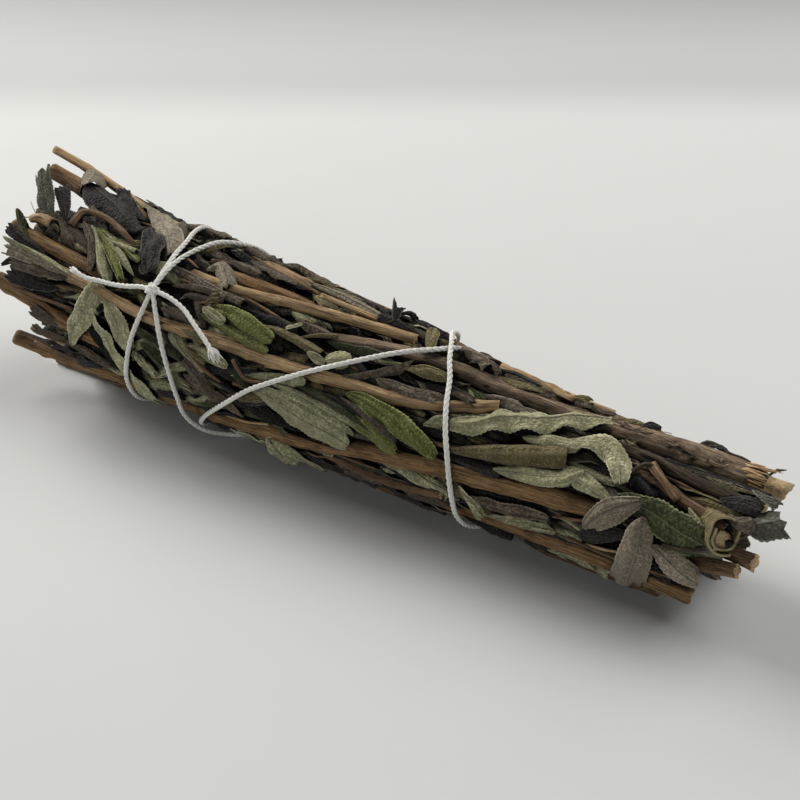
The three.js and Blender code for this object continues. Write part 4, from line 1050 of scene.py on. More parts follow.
FRONT_LEAVES = [
    ("grey", "torn", (-77, 36), (-87, 37), (-99, 38), 3.8, (0.2, 0.9, 0.9)),
    ("brown", "torn", (-77, 34), (-86, 32), (-97, 31), 3.6, (0.0, 0.6, 0.6)),
    ("pale", "fold", (-76, 37), (-87, 40), (-101, 43), 2.4, (0.3, 1.2, 1.4)),
    ("black", "torn", (-86, 41), (-94, 45), (-102, 49), 3.4, (-0.4, 0.8, 1.8)),
    ("dark", "fold", (-93, 44), (-98, 52), (-102, 60), 2.6, (0, 1.0, 2.2)),
    ("black", "torn", (-79, 26), (-88, 23), (-97, 25), 4.8, (-0.8, -0.3, 0.1)),
    ("black", "fold", (-76, 20), (-86, 22), (-95, 24), 4.2, (-1.5, -1.2, -0.6)),
    ("pale", "flat", (-72.8, -6), (-69.5, 14), (-66, 40), 7.4, (1.2, 1.1, -0.6)),
    ("brown", "fold", (-71, 47), (-74, 60), (-82, 71), 2.6, (0, 1.0, 0.6)),
    ("pale", "flat", (-63, 30), (-56, 18), (-52, 4), 5.8, (-0.3, 0.5, 0.3)),
    ("dark", "fold", (-50, 20), (-46, 17), (-41, 15), 3, (-0.5, 0.3, 0.4)),
    ("dark", "curl", (-48, 12), (-43, 6), (-39, 0), 3.6, (-0.6, 0, -0.4)),
    ("brown", "curl", (-44, 38), (-39, 38), (-33, 37), 3, (-0.6, -0.3, -0.3)),
    ("pale", "curl", (-34, 21), (-27, 20), (-18, 20), 3.6, (-0.4, -0.5, 0.6)),
    ("pale", "flat", (-32, 48), (-28, 46), (-23, 44), 3, (-0.4, 0.6, 0.7)),
    ("green", "flat", (-30, 52), (-20, 50), (-8, 46), 4.5, (-0.2, 0.9, 0.9)),
    ("green", "fold", (-31, 43), (-20, 41), (-8, 37), 3.6, (-0.3, 0.6, 0.7)),
    ("dark", "fold", (-18, 18), (-15, 14), (-11, 9), 3.2, (-0.8, 0, 0.3)),
    ("pale", "curl", (-12, 19), (-3, 25), (5, 30), 2.8, (-0.6, -0.6, 0.4)),
    ("olive", "roll", (-13, 53), (-4, 52), (6, 50), 2.6, (-0.4, 0.5, 0.6)),
    ("pale", "flat", (-11, 11), (4, 7.5), (20, 1), 6.8, (-0.5, 0.9, 1.2)),
    ("pale", "fold", (-5, 20), (9, 20.5), (23, 13.5), 2.5, (-0.5, 0.7, 0.8)),
    ("pale", "fold", (-5, 15), (8, 15), (21, 9), 2.3, (-0.4, 1.0, 1.0)),
    ("dark", "fold", (-2, 24), (11, 25), (25, 18), 2.3, (-0.5, 0.5, 0.5)),
    ("pale", "curl", (7, 46), (10, 51), (14, 54), 4.4, (-0.3, 0.6, 0.8)),
    ("black", "fold", (8, 26), (15, 27), (22, 23), 2.6, (-0.8, 0.0, 0.1)),
    ("green", "flat", (16, 33), (30, 30), (44, 18), 6.0, (-0.4, 1.1, 1.3)),
    ("green", "curl", (14, 23), (24, 16), (33, 8.5), 4.6, (-0.6, 0.5, 0.7)),
    ("brown", "curl", (22, 51), (30, 52), (40, 56), 3, (-0.6, 0, 0)),
    ("pale", "wavy", (38, 34), (58, 61), (78.5, 91), 6.8, (-0.4, 1.4, 1.6)),
    ("olive", "roll", (46, 24), (60, 37), (74, 51), 5.4, (-0.2, 1.4, 1.7)),
    ("pale", "curl", (58, 24), (69, 31), (79, 46), 4, (-0.4, 0.7, 0.9)),
    ("black", "roll", (47, 18), (53, 20), (60, 21), 3, (-1, -0.6, -0.4)),
    ("pale", "curl", (62, 53), (69, 57), (76, 57), 4.4, (-0.4, 1.2, 1.5)),
    ("pale", "wavy", (70, 55), (81, 66.5), (88.5, 46), 6.2, (0, 1.5, 1.5)),
    ("pale", "point", (74, 43), (80, 39), (88, 32), 4.4, (0, 1, 1.2)),
    ("brown", "fold", (78, 32), (84, 36), (91, 36), 3, (-0.5, 0.2, 0.2)),
    ("grey", "point", (82.5, 8), (88.5, 27), (94.5, 43), 6.6, (0.5, 1.4, 0.9)),
    ("dark", "flat", (88, 38), (100, 34), (110, 26), 8.8, (-0.1, 0.9, 0.9)),
    ("pale", "fold", (104, 48), (108.5, 37), (112.5, 26), 2.4, (0.6, 1.2, 1.0)),
]
TOP_LEAVES = [
    ("slate", "torn", (-89, 57), (-96, 70), (-104, 83), 5.8, (0.3, 3, 5.6)),
    ("black", "curl", (-82, 72), (-92, 64), (-99, 62), 3.2, (-1.4, -1.2, -0.5)),
    ("black", "torn", (-88, 68), (-93, 78), (-98, 87), 4.4, (-0.6, 0.6, 2.2)),
    ("pale", "fold", (-80, 71), (-72, 58), (-63.5, 40), 4.6, (0, 1.0, 1.0)),
    ("green", "point", (-78, 71), (-68, 60), (-58.5, 44), 3.0, (0, 0.9, 0.8)),
    ("pale", "point", (-77, 71), (-67, 62), (-56.5, 50), 2.8, (0, 0.7, 0.5)),
    ("green", "fold", (-76, 72), (-67, 67), (-58, 59.5), 2.6, (0, 0.6, 0.4)),
    ("black", "curl", (-67, 82), (-82, 94), (-97, 102), 8.6, (0.2, 1.2, 1.0)),
    ("black", "torn", (-70, 94), (-81, 104), (-89, 113), 4.2, (0.2, 0.8, 2.0)),
    ("grey", "cap", (-104, 120), (-98.5, 109), (-94, 97), 8.4, (2.6, 3.6, 2.2)),
    ("grey", "torn", (-80, 118), (-65, 97), (-51, 73), 7.4, (0.2, 1.1, 0.7)),
    ("brown", "fold", (-66, 104), (-58, 92), (-50, 76), 3.4, (0.2, 0.7, 0)),
    ("black", "flat", (-66, 91), (-59, 74), (-53, 56), 7.2, (-0.2, 0.9, 0.2)),
    ("brown", "curl", (-66, 120), (-58, 100), (-53, 88), 4, (0.2, 0.5, -0.4)),
    ("olive", "fold", (-50, 84), (-46, 94), (-43, 108), 3, (-0.5, -0.4, -0.3)),
    ("brown", "roll", (-52, 66), (-40, 66), (-27, 62), 4, (-0.5, -0.4, 0)),
    ("grey", "curl", (-38, 72), (-35, 79), (-28, 67), 4.6, (-0.3, 0.7, 0.6)),
    ("brown", "curl", (-36, 88), (-30, 86), (-24, 84), 2.6, (-0.4, 0.5, 0.7)),
    ("brown", "roll", (-44, 54), (-34, 60), (-22, 60), 2.6, (-0.5, 0, 0.2)),
    ("brown", "curl", (-32, 98), (-24, 96), (-14, 92), 3.4, (-0.4, 0, 0.2)),
    ("brown", "fold", (-6, 66), (-1, 65), (5, 64), 3.2, (-1, -0.2, 0)),
    ("dark", "fold", (5, 60), (13, 64), (22, 70), 3.2, (-0.6, 0.5, 0.4)),
    ("olive", "flat", (26, 66), (32, 70), (39, 72), 3.8, (-0.5, 0.5, 0.6)),
    ("olive", "flat", (29, 83), (26.5, 96), (23, 112), 3.8, (0.2, 1.3, 1.2)),
    ("grey", "roll", (-13, 99), (-1, 100), (12.5, 97), 3.0, (0.3, 0.6, 0.4)),
    ("black", "roll", (22, 100), (17, 98), (11, 97), 3.2, (0.0, 0.8, 1.2)),
    ("olive", "curl", (46, 97), (53, 98), (60, 100), 3.6, (-1.2, -0.3, -0.4)),
    ("brown", "fold", (62, 97), (55, 99), (48, 99), 3.4, (-0.4, 0.5, 0.2)),
    ("brown", "curl", (60, 104), (68, 108), (76, 112), 3.2, (-0.8, -0.4, -0.2)),
    ("black", "flat", (109, 63.5), (113.5, 65), (118, 66.5), 5.8, (0.0, 0.5, 0.2)),
    ("black", "curl", (100, 79), (108, 76), (115, 74), 3.2, (-4.6, -4.0, -3.4)),
]


def quadratic(values, share):
    start, middle, end = values
    rest = 1 - share
    return start * rest * (rest - share) + middle * 4 * share * rest + end * share * (share - rest)


def leaf_width(share, tip):
    """Share of the full width along a sage leaf: a narrow foot, full past the middle, then in to its tip."""
    inside = np.clip(share, 0.004, 0.996)
    widest = FOOT_POWER / (FOOT_POWER + tip)
    full = widest ** FOOT_POWER * (1 - widest) ** tip
    return np.maximum(inside ** FOOT_POWER * (1 - inside) ** tip / full, 0.08)


def waves(rng, count, size, along, across):
    """A soft crumple: waves over a leaf's length and width, in millimetres."""
    terms = [(rng.uniform(*along), rng.uniform(-across, across), rng.uniform(0, 6.3), rng.uniform(0.5, 1.0))
             for _ in range(count)]
    return lambda u, v: sum(k * np.sin(a * u + b * v + p) for a, b, p, k in terms) * size / count ** 0.5


def grown(measure, wild):
    """A measure of unevenness for a leaf of this wildness."""
    calm, added = measure
    return calm + added * wild


def cross_section(across, fold, curl):
    """Sideways and downward place of points across a leaf that is folded and curled, for a width of 1."""
    fold = math.radians(fold)
    curl = math.radians(curl)
    reach = np.abs(across)
    sideways = (np.sin(fold + curl * reach) - math.sin(fold)) / curl
    drop = (math.cos(fold) - np.cos(fold + curl * reach)) / curl
    samples = np.linspace(0, 1, 41)
    widest = np.max((np.sin(fold + curl * samples) - math.sin(fold)) / curl)
    return np.sign(across) * sideways / widest, drop / widest


def shape_leaf(leaf, across, share, seed, toothed, wild):
    """Bends a flat grid (across -1 to 1, share of the length 0 to 1) into a leaf on the bundle."""
    _, form, root, middle, tip, width, heights = leaf
    rng = random.Random(seed)
    fold, curl, margin, tip_power, kept = FORMS[form]
    fold += rng.uniform(-7, 7)
    curl *= rng.uniform(0.8, 1.2)
    xs = (root[0], middle[0], tip[0])
    angles = (root[1], middle[1], tip[1])
    length = leaf_length(leaf)
    if rng.random() < 0.5 * wild:
        kept = min(kept, TORN_SHARE)
    body = leaf_width(share * kept, tip_power)
    torn = kept < TORN_BELOW
    jag_size = TORN_JAG / length if torn else 0.0
    ragged = waves(rng, 3, TORN_WAVE if torn else TIP_WAVE, (0.0, 0.1), 4.5)
    jags = np.abs((across * rng.uniform(1.1, 2.3) + rng.random()) % 1 - 0.5) * jag_size
    bent = share + (ragged(0.0, across * width / 2) - jags) * np.clip(share * 6 - 5, 0, 1)

    def spine_at(s):
        return place(quadratic(xs, s), quadratic(angles, s), quadratic(heights, s))

    spine = spine_at(bent)
    along = unit(spine_at(share + 0.02) - spine_at(share - 0.02))
    side = unit(np.cross(along, outward(quadratic(xs, share), quadratic(angles, share))))
    up = np.cross(side, along)
    sideways, drop = cross_section(across, fold, curl)
    half = width / 2 * body * np.where(across > 0, rng.uniform(0.82, 1.1), rng.uniform(0.82, 1.1))
    half = half * (1 + 0.08 * wild * np.sin(share * length * 0.8 + rng.uniform(0, 6)))
    if toothed:
        half = half * (1 + TOOTH_DEPTH * np.abs(across) ** 4 * np.cos(2 * np.pi * share * length / TOOTH))
    tilt = rng.gauss(0, grown(TILT, wild)) + rng.gauss(0, grown(TWIST, wild)) * (share - 0.5)
    run = share * length
    span = across * half
    room = np.minimum(1, half / FULL_ROOM)
    phase = rng.uniform(0, 6.3)
    rise = margin * np.abs(across) ** 1.6 * np.sin(run * rng.uniform(0.5, 0.9) + phase + 1.9 * (across > 0))
    pleats = rng.uniform(0.08, 0.26) * (1 + wild) * np.cos(
        rng.uniform(1.3, 3.2) * math.pi * across + phase + 1.4 * np.sin(share * rng.uniform(2, 5)))
    crumple = waves(rng, 6, grown(CRUMPLE, wild), (0.25, 1.3), 1.4)(run, span)
    pebbles = waves(rng, 5, grown(PEBBLES, wild) if toothed else 0.0, (2.0, 4.5), 4.0)(run, span)
    flat_side = half * sideways + waves(rng, 2, 0.05 * width * (1 + wild), (0.1, 0.4), 0.1)(run, span)
    flat_up = -half * drop + (rise + pleats + crumple + pebbles) * room
    turned_side = flat_side * np.cos(tilt) - flat_up * np.sin(tilt)
    turned_up = flat_side * np.sin(tilt) + flat_up * np.cos(tilt)
    points = spine + side * turned_side[:, None] + up * turned_up[:, None]
    facts = np.stack([across, run, np.full_like(share, rng.random())], -1)
    return points, facts


def sunk(points):
    """Presses leaves down in front of the thick branch, so that it shows in full."""
    wide, high = outline(points[:, 0])
    reach = outline_share(points)
    angle = np.degrees(np.arctan2((points[:, 2] - high) / high, -points[:, 1] / wide)) % 360
    share = np.interp(points[:, 0], GROOVE_X, [0, 1]) * np.interp(angle, GROOVE_ANGLES, [0, 1, 1, 0])
    limit = 1 + (GROOVE_EDGE - (GROOVE_EDGE + GROOVE_DEPTH) * share) / high
    pressed = np.minimum(reach, limit) / np.maximum(reach, 1e-6)
    centre = np.stack([points[:, 0], 0 * wide, high], -1)
    return np.where(share[:, None] > 0, centre + (points - centre) * pressed[:, None], points)


def leaf_length(leaf):
    root, middle, tip = leaf[2:5]
    return float(np.linalg.norm(place(*root, 0) - place(*middle, 0))
                 + np.linalg.norm(place(*tip, 0) - place(*middle, 0)))


# Pieces of leaves and of thin sheets


def keep_places(mesh, name, facts):
    """Keeps for every point its place on its leaf or sheet, which the material reads."""
    store = mesh.attributes.new(name, "FLOAT_VECTOR", "POINT")
    store.data.foreach_set("vector", facts.ravel())
    mesh.update()


def thicken(piece, thickness):
    wall = piece.modifiers.new("thickness", "SOLIDIFY")
    wall.thickness = thickness * MM
    wall.offset = 0.0


def leaf_piece(name, leaves, seed, ring, columns, toothed, wild, node=None, pressed=True):
    """One piece of many leaves: a grid for each, bent into place, pressed under the string and thickened.

    The ring is the length of leaf for each row of faces. Leaves without teeth are those laid by rule, which
    also lie under the stems.
    """
    bm = bmesh.new()
    counts = []
    finishes = []
    for leaf in leaves:
        rows = max(6, int(round(leaf_length(leaf) / ring)))
        made = bmesh.ops.create_grid(bm, x_segments=columns, y_segments=rows, size=1.0)
        counts.append(len(made["verts"]))
        finishes += [FINISH_NAMES.index(leaf[0])] * (len(bm.faces) - len(finishes))
    piece = finish_piece(name, bm, [LEAF_FINISHES[key] for key in FINISH_NAMES])
    mesh = piece.data
    flat = vertex_places(mesh)
    points = np.zeros_like(flat)
    facts = np.zeros_like(flat)
    start = 0
    for i, (leaf, count) in enumerate(zip(leaves, counts)):
        sheet = flat[start:start + count]
        shaped = shape_leaf(leaf, sheet[:, 0], (sheet[:, 1] + 1) / 2, seed + i, toothed, wild)
        points[start:start + count], facts[start:start + count] = shaped
        start += count
    if not toothed:
        points = sunk(STEM_PRESS.push(points))
    if pressed:
        points = STRING_PRESS.push(points)
    points[:, 2] = np.maximum(points[:, 2], LEAF_FLOOR)
    mesh.vertices.foreach_set("co", to_frame(points).ravel())
    mesh.polygons.foreach_set("material_index", finishes)
    keep_places(mesh, "leaf_place", facts)
    thicken(shaded(piece), LEAF_THICKNESS)
    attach(piece, "root")
    if node:
        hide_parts(node)
    return piece


# Smaller leaves and scraps that the solids leave out
SMALL_LEAVES = [
    ("brown", "curl", (-81, 70), (-75, 57), (-71, 43), 2.5, (-0.5, 0.5, 0.5)),
    ("pale", "roll", (-77, 70), (-69, 66), (-61, 65), 1.6, (-0.5, 0.5, 0.5)),
    ("pale", "curl", (-74, 111), (-69, 111), (-59, 98), 2.5, (0, 0.8, 0.8)),
    ("olive", "flat", (-31.5, 50), (-30, 54.5), (-28, 58), 2.6, (0, 0.7, 0.9)),
    ("olive", "fold", (-34, 24), (-30, 19), (-25, 17), 1.6, (-0.4, 0.6, 0.6)),
    ("pale", "curl", (-7, 56), (-5, 59), (-3, 63), 1.8, (-0.2, 0.8, 0.8)),
    ("olive", "roll", (-3, 52), (2, 60), (7, 65), 1.2, (-0.3, 0.5, 0.5)),
    ("pale", "flat", (2, 47), (5, 46), (8, 45), 2.5, (-0.2, 0.8, 0.8)),
    ("brown", "fold", (15, 30), (24, 24), (33, 17), 2.2, (0.2, 1.0, 1.1)),
    ("brown", "fold", (13, 43), (21, 55), (28, 72), 2.4, (-0.6, 0.3, 0.4)),
    ("brown", "roll", (32, 52), (36, 56), (41, 56), 1.6, (-0.4, 0.4, 0.3)),
    ("brown", "roll", (41, 62), (43, 64), (48, 63), 1.8, (-0.4, 0.4, 0.3)),
    ("pale", "curl", (45, 43), (42, 43), (40, 39), 1.5, (-0.3, 0.6, 0.6)),
    ("pale", "flat", (71, 29), (74, 31), (77, 34), 1.8, (-0.3, 0.6, 0.6)),
    ("brown", "roll", (103, 17), (108, 21), (113, 30), 1.2, (0, 0.7, 0.6)),
    ("dark", "curl", (105, 41), (108, 35), (112, 27), 2.1, (0, 1.2, 1.2)),
    ("black", "fold", (90, 48), (91, 55), (97, 45), 3.1, (-0.6, 0.2, 0.1)),
    ("slate", "torn", (115.5, 50), (119.5, 56), (123, 66), 8.0, (-0.8, 0.0, 0.1)),
    ("brown", "roll", (112, 54), (115, 50.5), (117.5, 55), 3.4, (0.0, 1.0, 0.5)),
    ("olive", "roll", (-87, 58), (-91, 60), (-95, 59), 2.2, (-0.2, 0.4, 0.3)),
    ("slate", "torn", (114.5, 81), (118, 77), (121.5, 74), 4.4, (-0.4, 0.5, 0.2)),
    ("dark", "fold", (-39, 18), (-37, 16), (-33, 12), 2.4, (-0.6, 0.4, 0.3)),
    ("brown", "curl", (-37, 14), (-30, 7), (-23, -6), 5.0, (-1.0, -0.2, 0)),
    ("olive", "fold", (-36, 30), (-32, 31), (-26, 30), 2.4, (-0.3, 0.4, 0.4)),
    ("black", "curl", (96, 116), (100, 118), (104, 120), 2.6, (-0.4, 1.2, 0.4)),
    ("black", "torn", (84, 103), (84.5, 112), (88, 114), 3.0, (-0.4, 0.4, 0.2)),
    ("olive", "roll", (55, 96), (59, 100), (63, 101), 1.8, (-0.4, 0.7, 0.9)),
    ("olive", "torn", (64, 101), (67, 106), (70, 108), 2.4, (-0.4, 0.9, 0.9)),
    ("brown", "torn", (60, 99), (66, 103), (71, 106), 3.0, (-0.6, 0.2, 0.6)),
    ("pale", "cut", (-8, -27), (-5, -38), (-3, -52), 7.5, (0.2, 1.4, 3.0)),
    ("black", "curl", (22, -46), (32, -52), (42, -54), 3.4, (-0.4, 0.6, 1.0)),
    ("brown", "curl", (36, -50), (46, -56), (56, -58), 3.6, (-0.4, 0.5, 0.9)),
    ("black", "roll", (48, -48), (54, -54), (60, -58), 2.6, (-0.4, 0.6, 1.0)),
]

# Scraps that stand up from the top edge and the ends
STANDING_SCRAPS = [
    ("black", "cup", (15, 95), (13, 104), (12.5, 113), 4.0, (0.3, 1.9, 1.9)),
    ("black", "roll", (14, 106), (15.5, 112), (18, 115), 1.6, (1.2, 2.3, 1.7)),
    ("brown", "curl", (-26, 106), (-17, 109), (-7, 108), 3.8, (-0.2, 0.8, 0.3)),
    ("olive", "fold", (-16, 106), (-7, 106), (3, 104), 2.8, (-0.2, 0.8, 0.2)),
    ("brown", "roll", (-42, 112), (-30, 110), (-20, 108), 2.8, (0.0, 0.4, 0.0)),
    ("brown", "torn", (28, 106), (35, 111), (43, 113), 5.0, (-1.0, -0.8, -0.6)),
    ("brown", "flat", (39, 92), (43, 98), (47.5, 94), 2.2, (0.3, 1.7, 0.5)),
    ("grey", "cap", (33, 99), (38, 104), (44, 103), 4.6, (0.2, 1.3, 0.2)),
    ("brown", "curl", (36, 114), (39.5, 118), (43, 120), 4.0, (-0.4, 0.2, -1.2)),
    ("black", "cap", (46, 99), (51, 102), (57, 101), 4.2, (-0.2, 0.6, 0.2)),
    ("brown", "fold", (-64, 114), (-56, 112), (-46, 110), 3.4, (0.2, 1.0, 0.4)),
    ("brown", "curl", (-52, 113), (-45, 119), (-37, 121), 5.0, (0.0, 0.2, -0.4)),
    ("brown", "torn", (-44, 115), (-36, 120), (-28, 121), 4.6, (-0.8, -1.2, -0.8)),
    ("grey", "curl", (-64, 118), (-57, 125), (-50, 127), 5.2, (0.2, 0.8, 0.0)),
    ("olive", "fold", (-36, 113), (-29, 117), (-21, 118), 3.8, (-0.6, -0.2, -0.2)),
    ("brown", "cap", (60, 101), (65, 104), (70, 102), 4.4, (-0.2, 0.8, 0.5)),
]

# Leaves laid by rule fill the bundle in layers, from the dark inside outwards: finishes and their weights
MIXES = {
    # painted shade: the deep layers are mostly near-black leaves
    "deep": (("black", 6), ("brown", 4), ("dark", 1), ("olive", 1)),
    "front": (("brown", 4), ("black", 4), ("pale", 6), ("dark", 3), ("olive", 4)),
    "low": (("brown", 5), ("black", 5), ("pale", 3), ("olive", 1)),
    "top": (("brown", 6), ("black", 4), ("olive", 2), ("pale", 2), ("dark", 1)),
    "back": (("brown", 5), ("pale", 5), ("black", 3), ("dark", 2), ("olive", 2), ("grey", 2)),
    "ends": (("brown", 6), ("black", 5), ("pale", 2), ("dark", 1), ("olive", 1)),
}


# Forms of the leaves laid by rule, drawn with equal chances
NARROW_FORMS = ("curl", "fold", "curl", "point", "fold")
MIXED_FORMS = ("curl", "fold", "flat", "curl", "torn")
END_FORMS = ("curl", "fold", "torn", "curl", "point", "torn")


def pick(rng, mix):
    names = [name for name, weight in mix for _ in range(weight)]
    return rng.choice(names)


def leaf_reach(angle):
    """How far the leaves reach at an angle: x at the left end and at the right end."""
    turn = (angle + 90) % 360 - 90
    return np.interp(turn, REACH_ANGLES, REACH_LEFT), np.interp(turn, REACH_ANGLES, REACH_RIGHT)


def laid_leaves(seed, low, high, step_x, step_angle, mix, heights, widths, lengths, forms):
    """Leaves on a loose grid over part of the bundle; most point along it, either way."""
    rng = random.Random(seed)
    leaves = []
    for x in np.arange(*LAID_FROM_TO, step_x):
        for angle in np.arange(low, high, step_angle):
            at = x + rng.uniform(-0.6, 0.6) * step_x
            turn = angle + rng.uniform(-0.6, 0.6) * step_angle
            length = rng.uniform(*lengths)
            heading = rng.choice((1, 1, 1, -1)) if at > -50 else rng.choice((1, -1, -1, -1))
            left, right = leaf_reach(turn)
            at = min(max(at, left + 3), right - 3)
            end = at + heading * length
            if not left - 1 < end < right + 1:
                heading = -heading
                end = at + heading * length
            lean = rng.gauss(0, 17)
            height = rng.uniform(*heights)
            bow = rng.uniform(0.0, 1.0)
            leaves.append((pick(rng, mix), rng.choice(forms), (at, turn),
                           ((at + end) / 2, turn + lean * rng.uniform(0.3, 0.7)), (end, turn + lean),
                           rng.uniform(*widths), (height - 0.9, height + bow * 0.5, height + bow * 0.3)))
    return leaves


def end_leaves(seed, way, x_root, count, mix, shallow=0.0, spread=-15.0, drawn_in=0.35, edge=None):
    """Ragged leaf tips that fill an end of the bundle, way -1 or 1, at every depth.

    They lie between the heights shallow and shallow + spread, and the deep ones end further inside.
    """
    rng = random.Random(seed)
    leaves = []
    for i in range(count):
        depth = shallow + spread * rng.random() ** 1.4
        angle = (i * GOLDEN_TURN) % 360
        tip = (edge or leaf_reach(angle)[way > 0]) + way * (rng.uniform(-10, 2) + depth * drawn_in)
        root = x_root + rng.uniform(-6, 6)
        lean = rng.gauss(0, 12)
        leaves.append((pick(rng, mix), rng.choice(END_FORMS), (root, angle),
                       ((root + tip) / 2, angle + lean / 2), (tip, angle + lean), rng.uniform(3.2, 7.0),
                       (depth - 1, depth, depth + rng.uniform(-2.0, 1.4))))
    return leaves


def build_leaves():
    traced = {"leaves_front_low": FRONT_LOW_LEAVES, "leaves_front": FRONT_LEAVES, "leaves_top": TOP_LEAVES}
    for k, (node, leaves) in enumerate(traced.items()):
        piece = leaf_piece(node + "_traced", leaves, 1000 * (k + 1), ring=0.38, columns=12, toothed=True,
                           wild=0.35, node=node)
    piece = leaf_piece("leaves_small", SMALL_LEAVES, 5000, ring=0.42, columns=8, toothed=True, wild=0.6)
    piece = leaf_piece("leaves_standing", STANDING_SCRAPS, 5200, ring=0.5, columns=10, toothed=True,
                       wild=1.2, pressed=False)
    laid = {
        "leaves_front_deep": (laid_leaves(11, -80, 130, 10, 17, MIXES["deep"], (-5.4, -3.4), (3.5, 6.5),
                                          (18, 32), MIXED_FORMS), "leaves_front"),
        "leaves_front_laid": (laid_leaves(12, -30, 66, 8, 12, MIXES["front"], (-2.6, -1.2), (1.8, 4.6),
                                          (14, 30), NARROW_FORMS), "leaves_front_low"),
        "leaves_low_laid": (laid_leaves(17, -80, -30, 9, 11, MIXES["low"], (-1.7, 0.2), (2.4, 5.6),
                                        (14, 30), MIXED_FORMS), "leaves_front_low"),
        "leaves_top_laid": (laid_leaves(13, 66, 128, 8, 13, MIXES["top"], (-2.4, -0.7), (2.2, 5.2),
                                        (14, 30), NARROW_FORMS), "leaves_top"),
        "leaves_back_deep": (laid_leaves(14, 130, 280, 11, 18, MIXES["deep"], (-5.2, -3.2), (4.0, 7.0),
                                         (18, 32), MIXED_FORMS), "leaves_back"),
        "leaves_back_laid": (laid_leaves(15, 128, 206, 8, 13, MIXES["back"], (-2.0, 0.2), (3.0, 7.5),
                                         (16, 34), MIXED_FORMS), "leaves_back"),
        "leaves_under_laid": (laid_leaves(16, 206, 282, 9, 15, MIXES["back"], (-1.8, 0.3), (3.0, 7.0),
                                          (16, 32), MIXED_FORMS), "leaves_under"),
        "leaves_end_left": (end_leaves(21, -1, -72, 120, MIXES["ends"]), "leaves_top"),
        "leaves_end_right": (end_leaves(22, 1, 86, 120, MIXES["ends"]), "leaves_front"),
        "leaves_heart_left": (end_leaves(23, -1, -78, 120, MIXES["ends"], shallow=-11.0, spread=-17.0,
                                         drawn_in=0.05, edge=-97.0), "leaves_top"),
        "leaves_heart_right": (end_leaves(24, 1, 92, 110, MIXES["ends"], shallow=-6.0, spread=-12.0,
                                          drawn_in=0.1, edge=110.5), "leaves_front"),
    }
    for k, (name, (leaves, node)) in enumerate(laid.items()):
        ring = DEEP_LEAF_RING if name.endswith("deep") else LAID_LEAF_RING
        piece = leaf_piece(name, leaves, 9000 + 1000 * k, ring, LAID_COLUMNS, toothed=False, wild=1.0,
                           node=node)


def sheet_piece(name, sheets, material, thickness, attribute):
    """One piece of thin bent sheets: for each its columns, rows and a function for points and facts."""
    bm = bmesh.new()
    counts = [len(bmesh.ops.create_grid(bm, x_segments=columns, y_segments=rows, size=1.0)["verts"])
              for columns, rows, _ in sheets]
    piece = finish_piece(name, bm, [material])
    flat = vertex_places(piece.data)
    points = np.zeros_like(flat)
    facts = np.zeros_like(flat)
    start = 0
    for (_, _, bend), count in zip(sheets, counts):
        part = slice(start, start + count)
        points[part], facts[part] = bend(flat[part, 0], (flat[part, 1] + 1) / 2)
        start += count
    piece.data.vertices.foreach_set("co", to_frame(points).ravel())
    keep_places(piece.data, attribute, facts)
    thicken(piece, thickness)
    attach(piece, "root")
    return shaded(piece)


FLAKE_STEP = 0.5               # length of branch between the points that flakes and splinters start from
FLAKE_COUNT = 34
FLAKE_THICKNESS = 0.1
SPLINTER_COUNT = 30


def build_flakes():
    """Loose flakes of bark on the thick branch, and splinters round its split end."""
    rng = random.Random(404)
    (start, end), _, route = STEMS["branch_butt"]
    path = route_path(route, FLAKE_STEP)
    _, side, up = carried_frames(path)
    length = np.arange(len(path)) * FLAKE_STEP
    outer = unit(outward(np.interp(length, [0, length[-1]], [0, 119]), 95))

    def facing(at):
        """The turn round the branch that looks out of the bundle."""
        return math.atan2(float(np.dot(outer[at], up[at])), float(np.dot(outer[at], side[at])))

    def flake(at, turn, long, wide, lift, curl):
        def bend(across, share):
            ring = np.clip(at + share * long / FLAKE_STEP, 0, len(path) - 14).astype(int)
            radius = start + (end - start) * ring / len(path)
            angle = turn + across * wide / 2 / radius * (1 - 0.35 * share) + 0.12 * np.sin(share * 5 + turn)
            radius = radius * butt_swell(ring / len(path))
            raised = lift * share ** 1.5 + curl * np.abs(across) ** 2 + 0.08 * np.sin(share * 9 + at)
            height = radius + 0.02 + raised
            out = side[ring] * np.cos(angle)[:, None] + up[ring] * np.sin(angle)[:, None]
            facts = np.stack([height * np.cos(angle), height * np.sin(angle), length[ring] * 1.7], -1)
            return path[ring] + out * height[:, None], facts
        return bend

    sheets = []
    for _ in range(FLAKE_COUNT):
        at = int(rng.uniform(0.36, 0.93) ** 0.8 * (len(path) - 20))
        sheets.append((3, 8, flake(at, facing(at) + rng.gauss(0, 1.0), rng.uniform(1.5, 5.5),
                                   rng.uniform(0.3, 1.0), rng.uniform(0.0, 0.3), rng.uniform(-0.08, 0.05))))
    sheet_piece("branch_flakes", sheets, BRANCH_BARK, FLAKE_THICKNESS, "bark_place")
    splinters = []
    bark_end = int((length[-1] - SPLIT_END) / FLAKE_STEP)
    for _ in range(SPLINTER_COUNT):
        at = bark_end - int(rng.uniform(1, 9))
        turn = facing(at) + rng.gauss(0, 0.9)
        lifts = (-0.3, 0.05, rng.uniform(0.0, 0.5))
        far_out = [end * 1.08 + rng.uniform(-0.1, 0.15) + lift for lift in lifts]
        rings = [at, at + int(rng.uniform(2, 5)), at + int(rng.uniform(6, 12))]
        spots = [path[ring] + (side[ring] * math.cos(turn) + up[ring] * math.sin(turn)) * far
                 for ring, far in zip(rings, far_out)]
        splinter = tapered(rng.uniform(0.14, 0.3), 0.7)
        splinters.append({"path": smooth_path(spots, 0.6), "sides": 5, "radius_at": splinter})
    piece = rod_piece("branch_splinters", splinters, [STEM_PALE])
    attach(piece, "root")


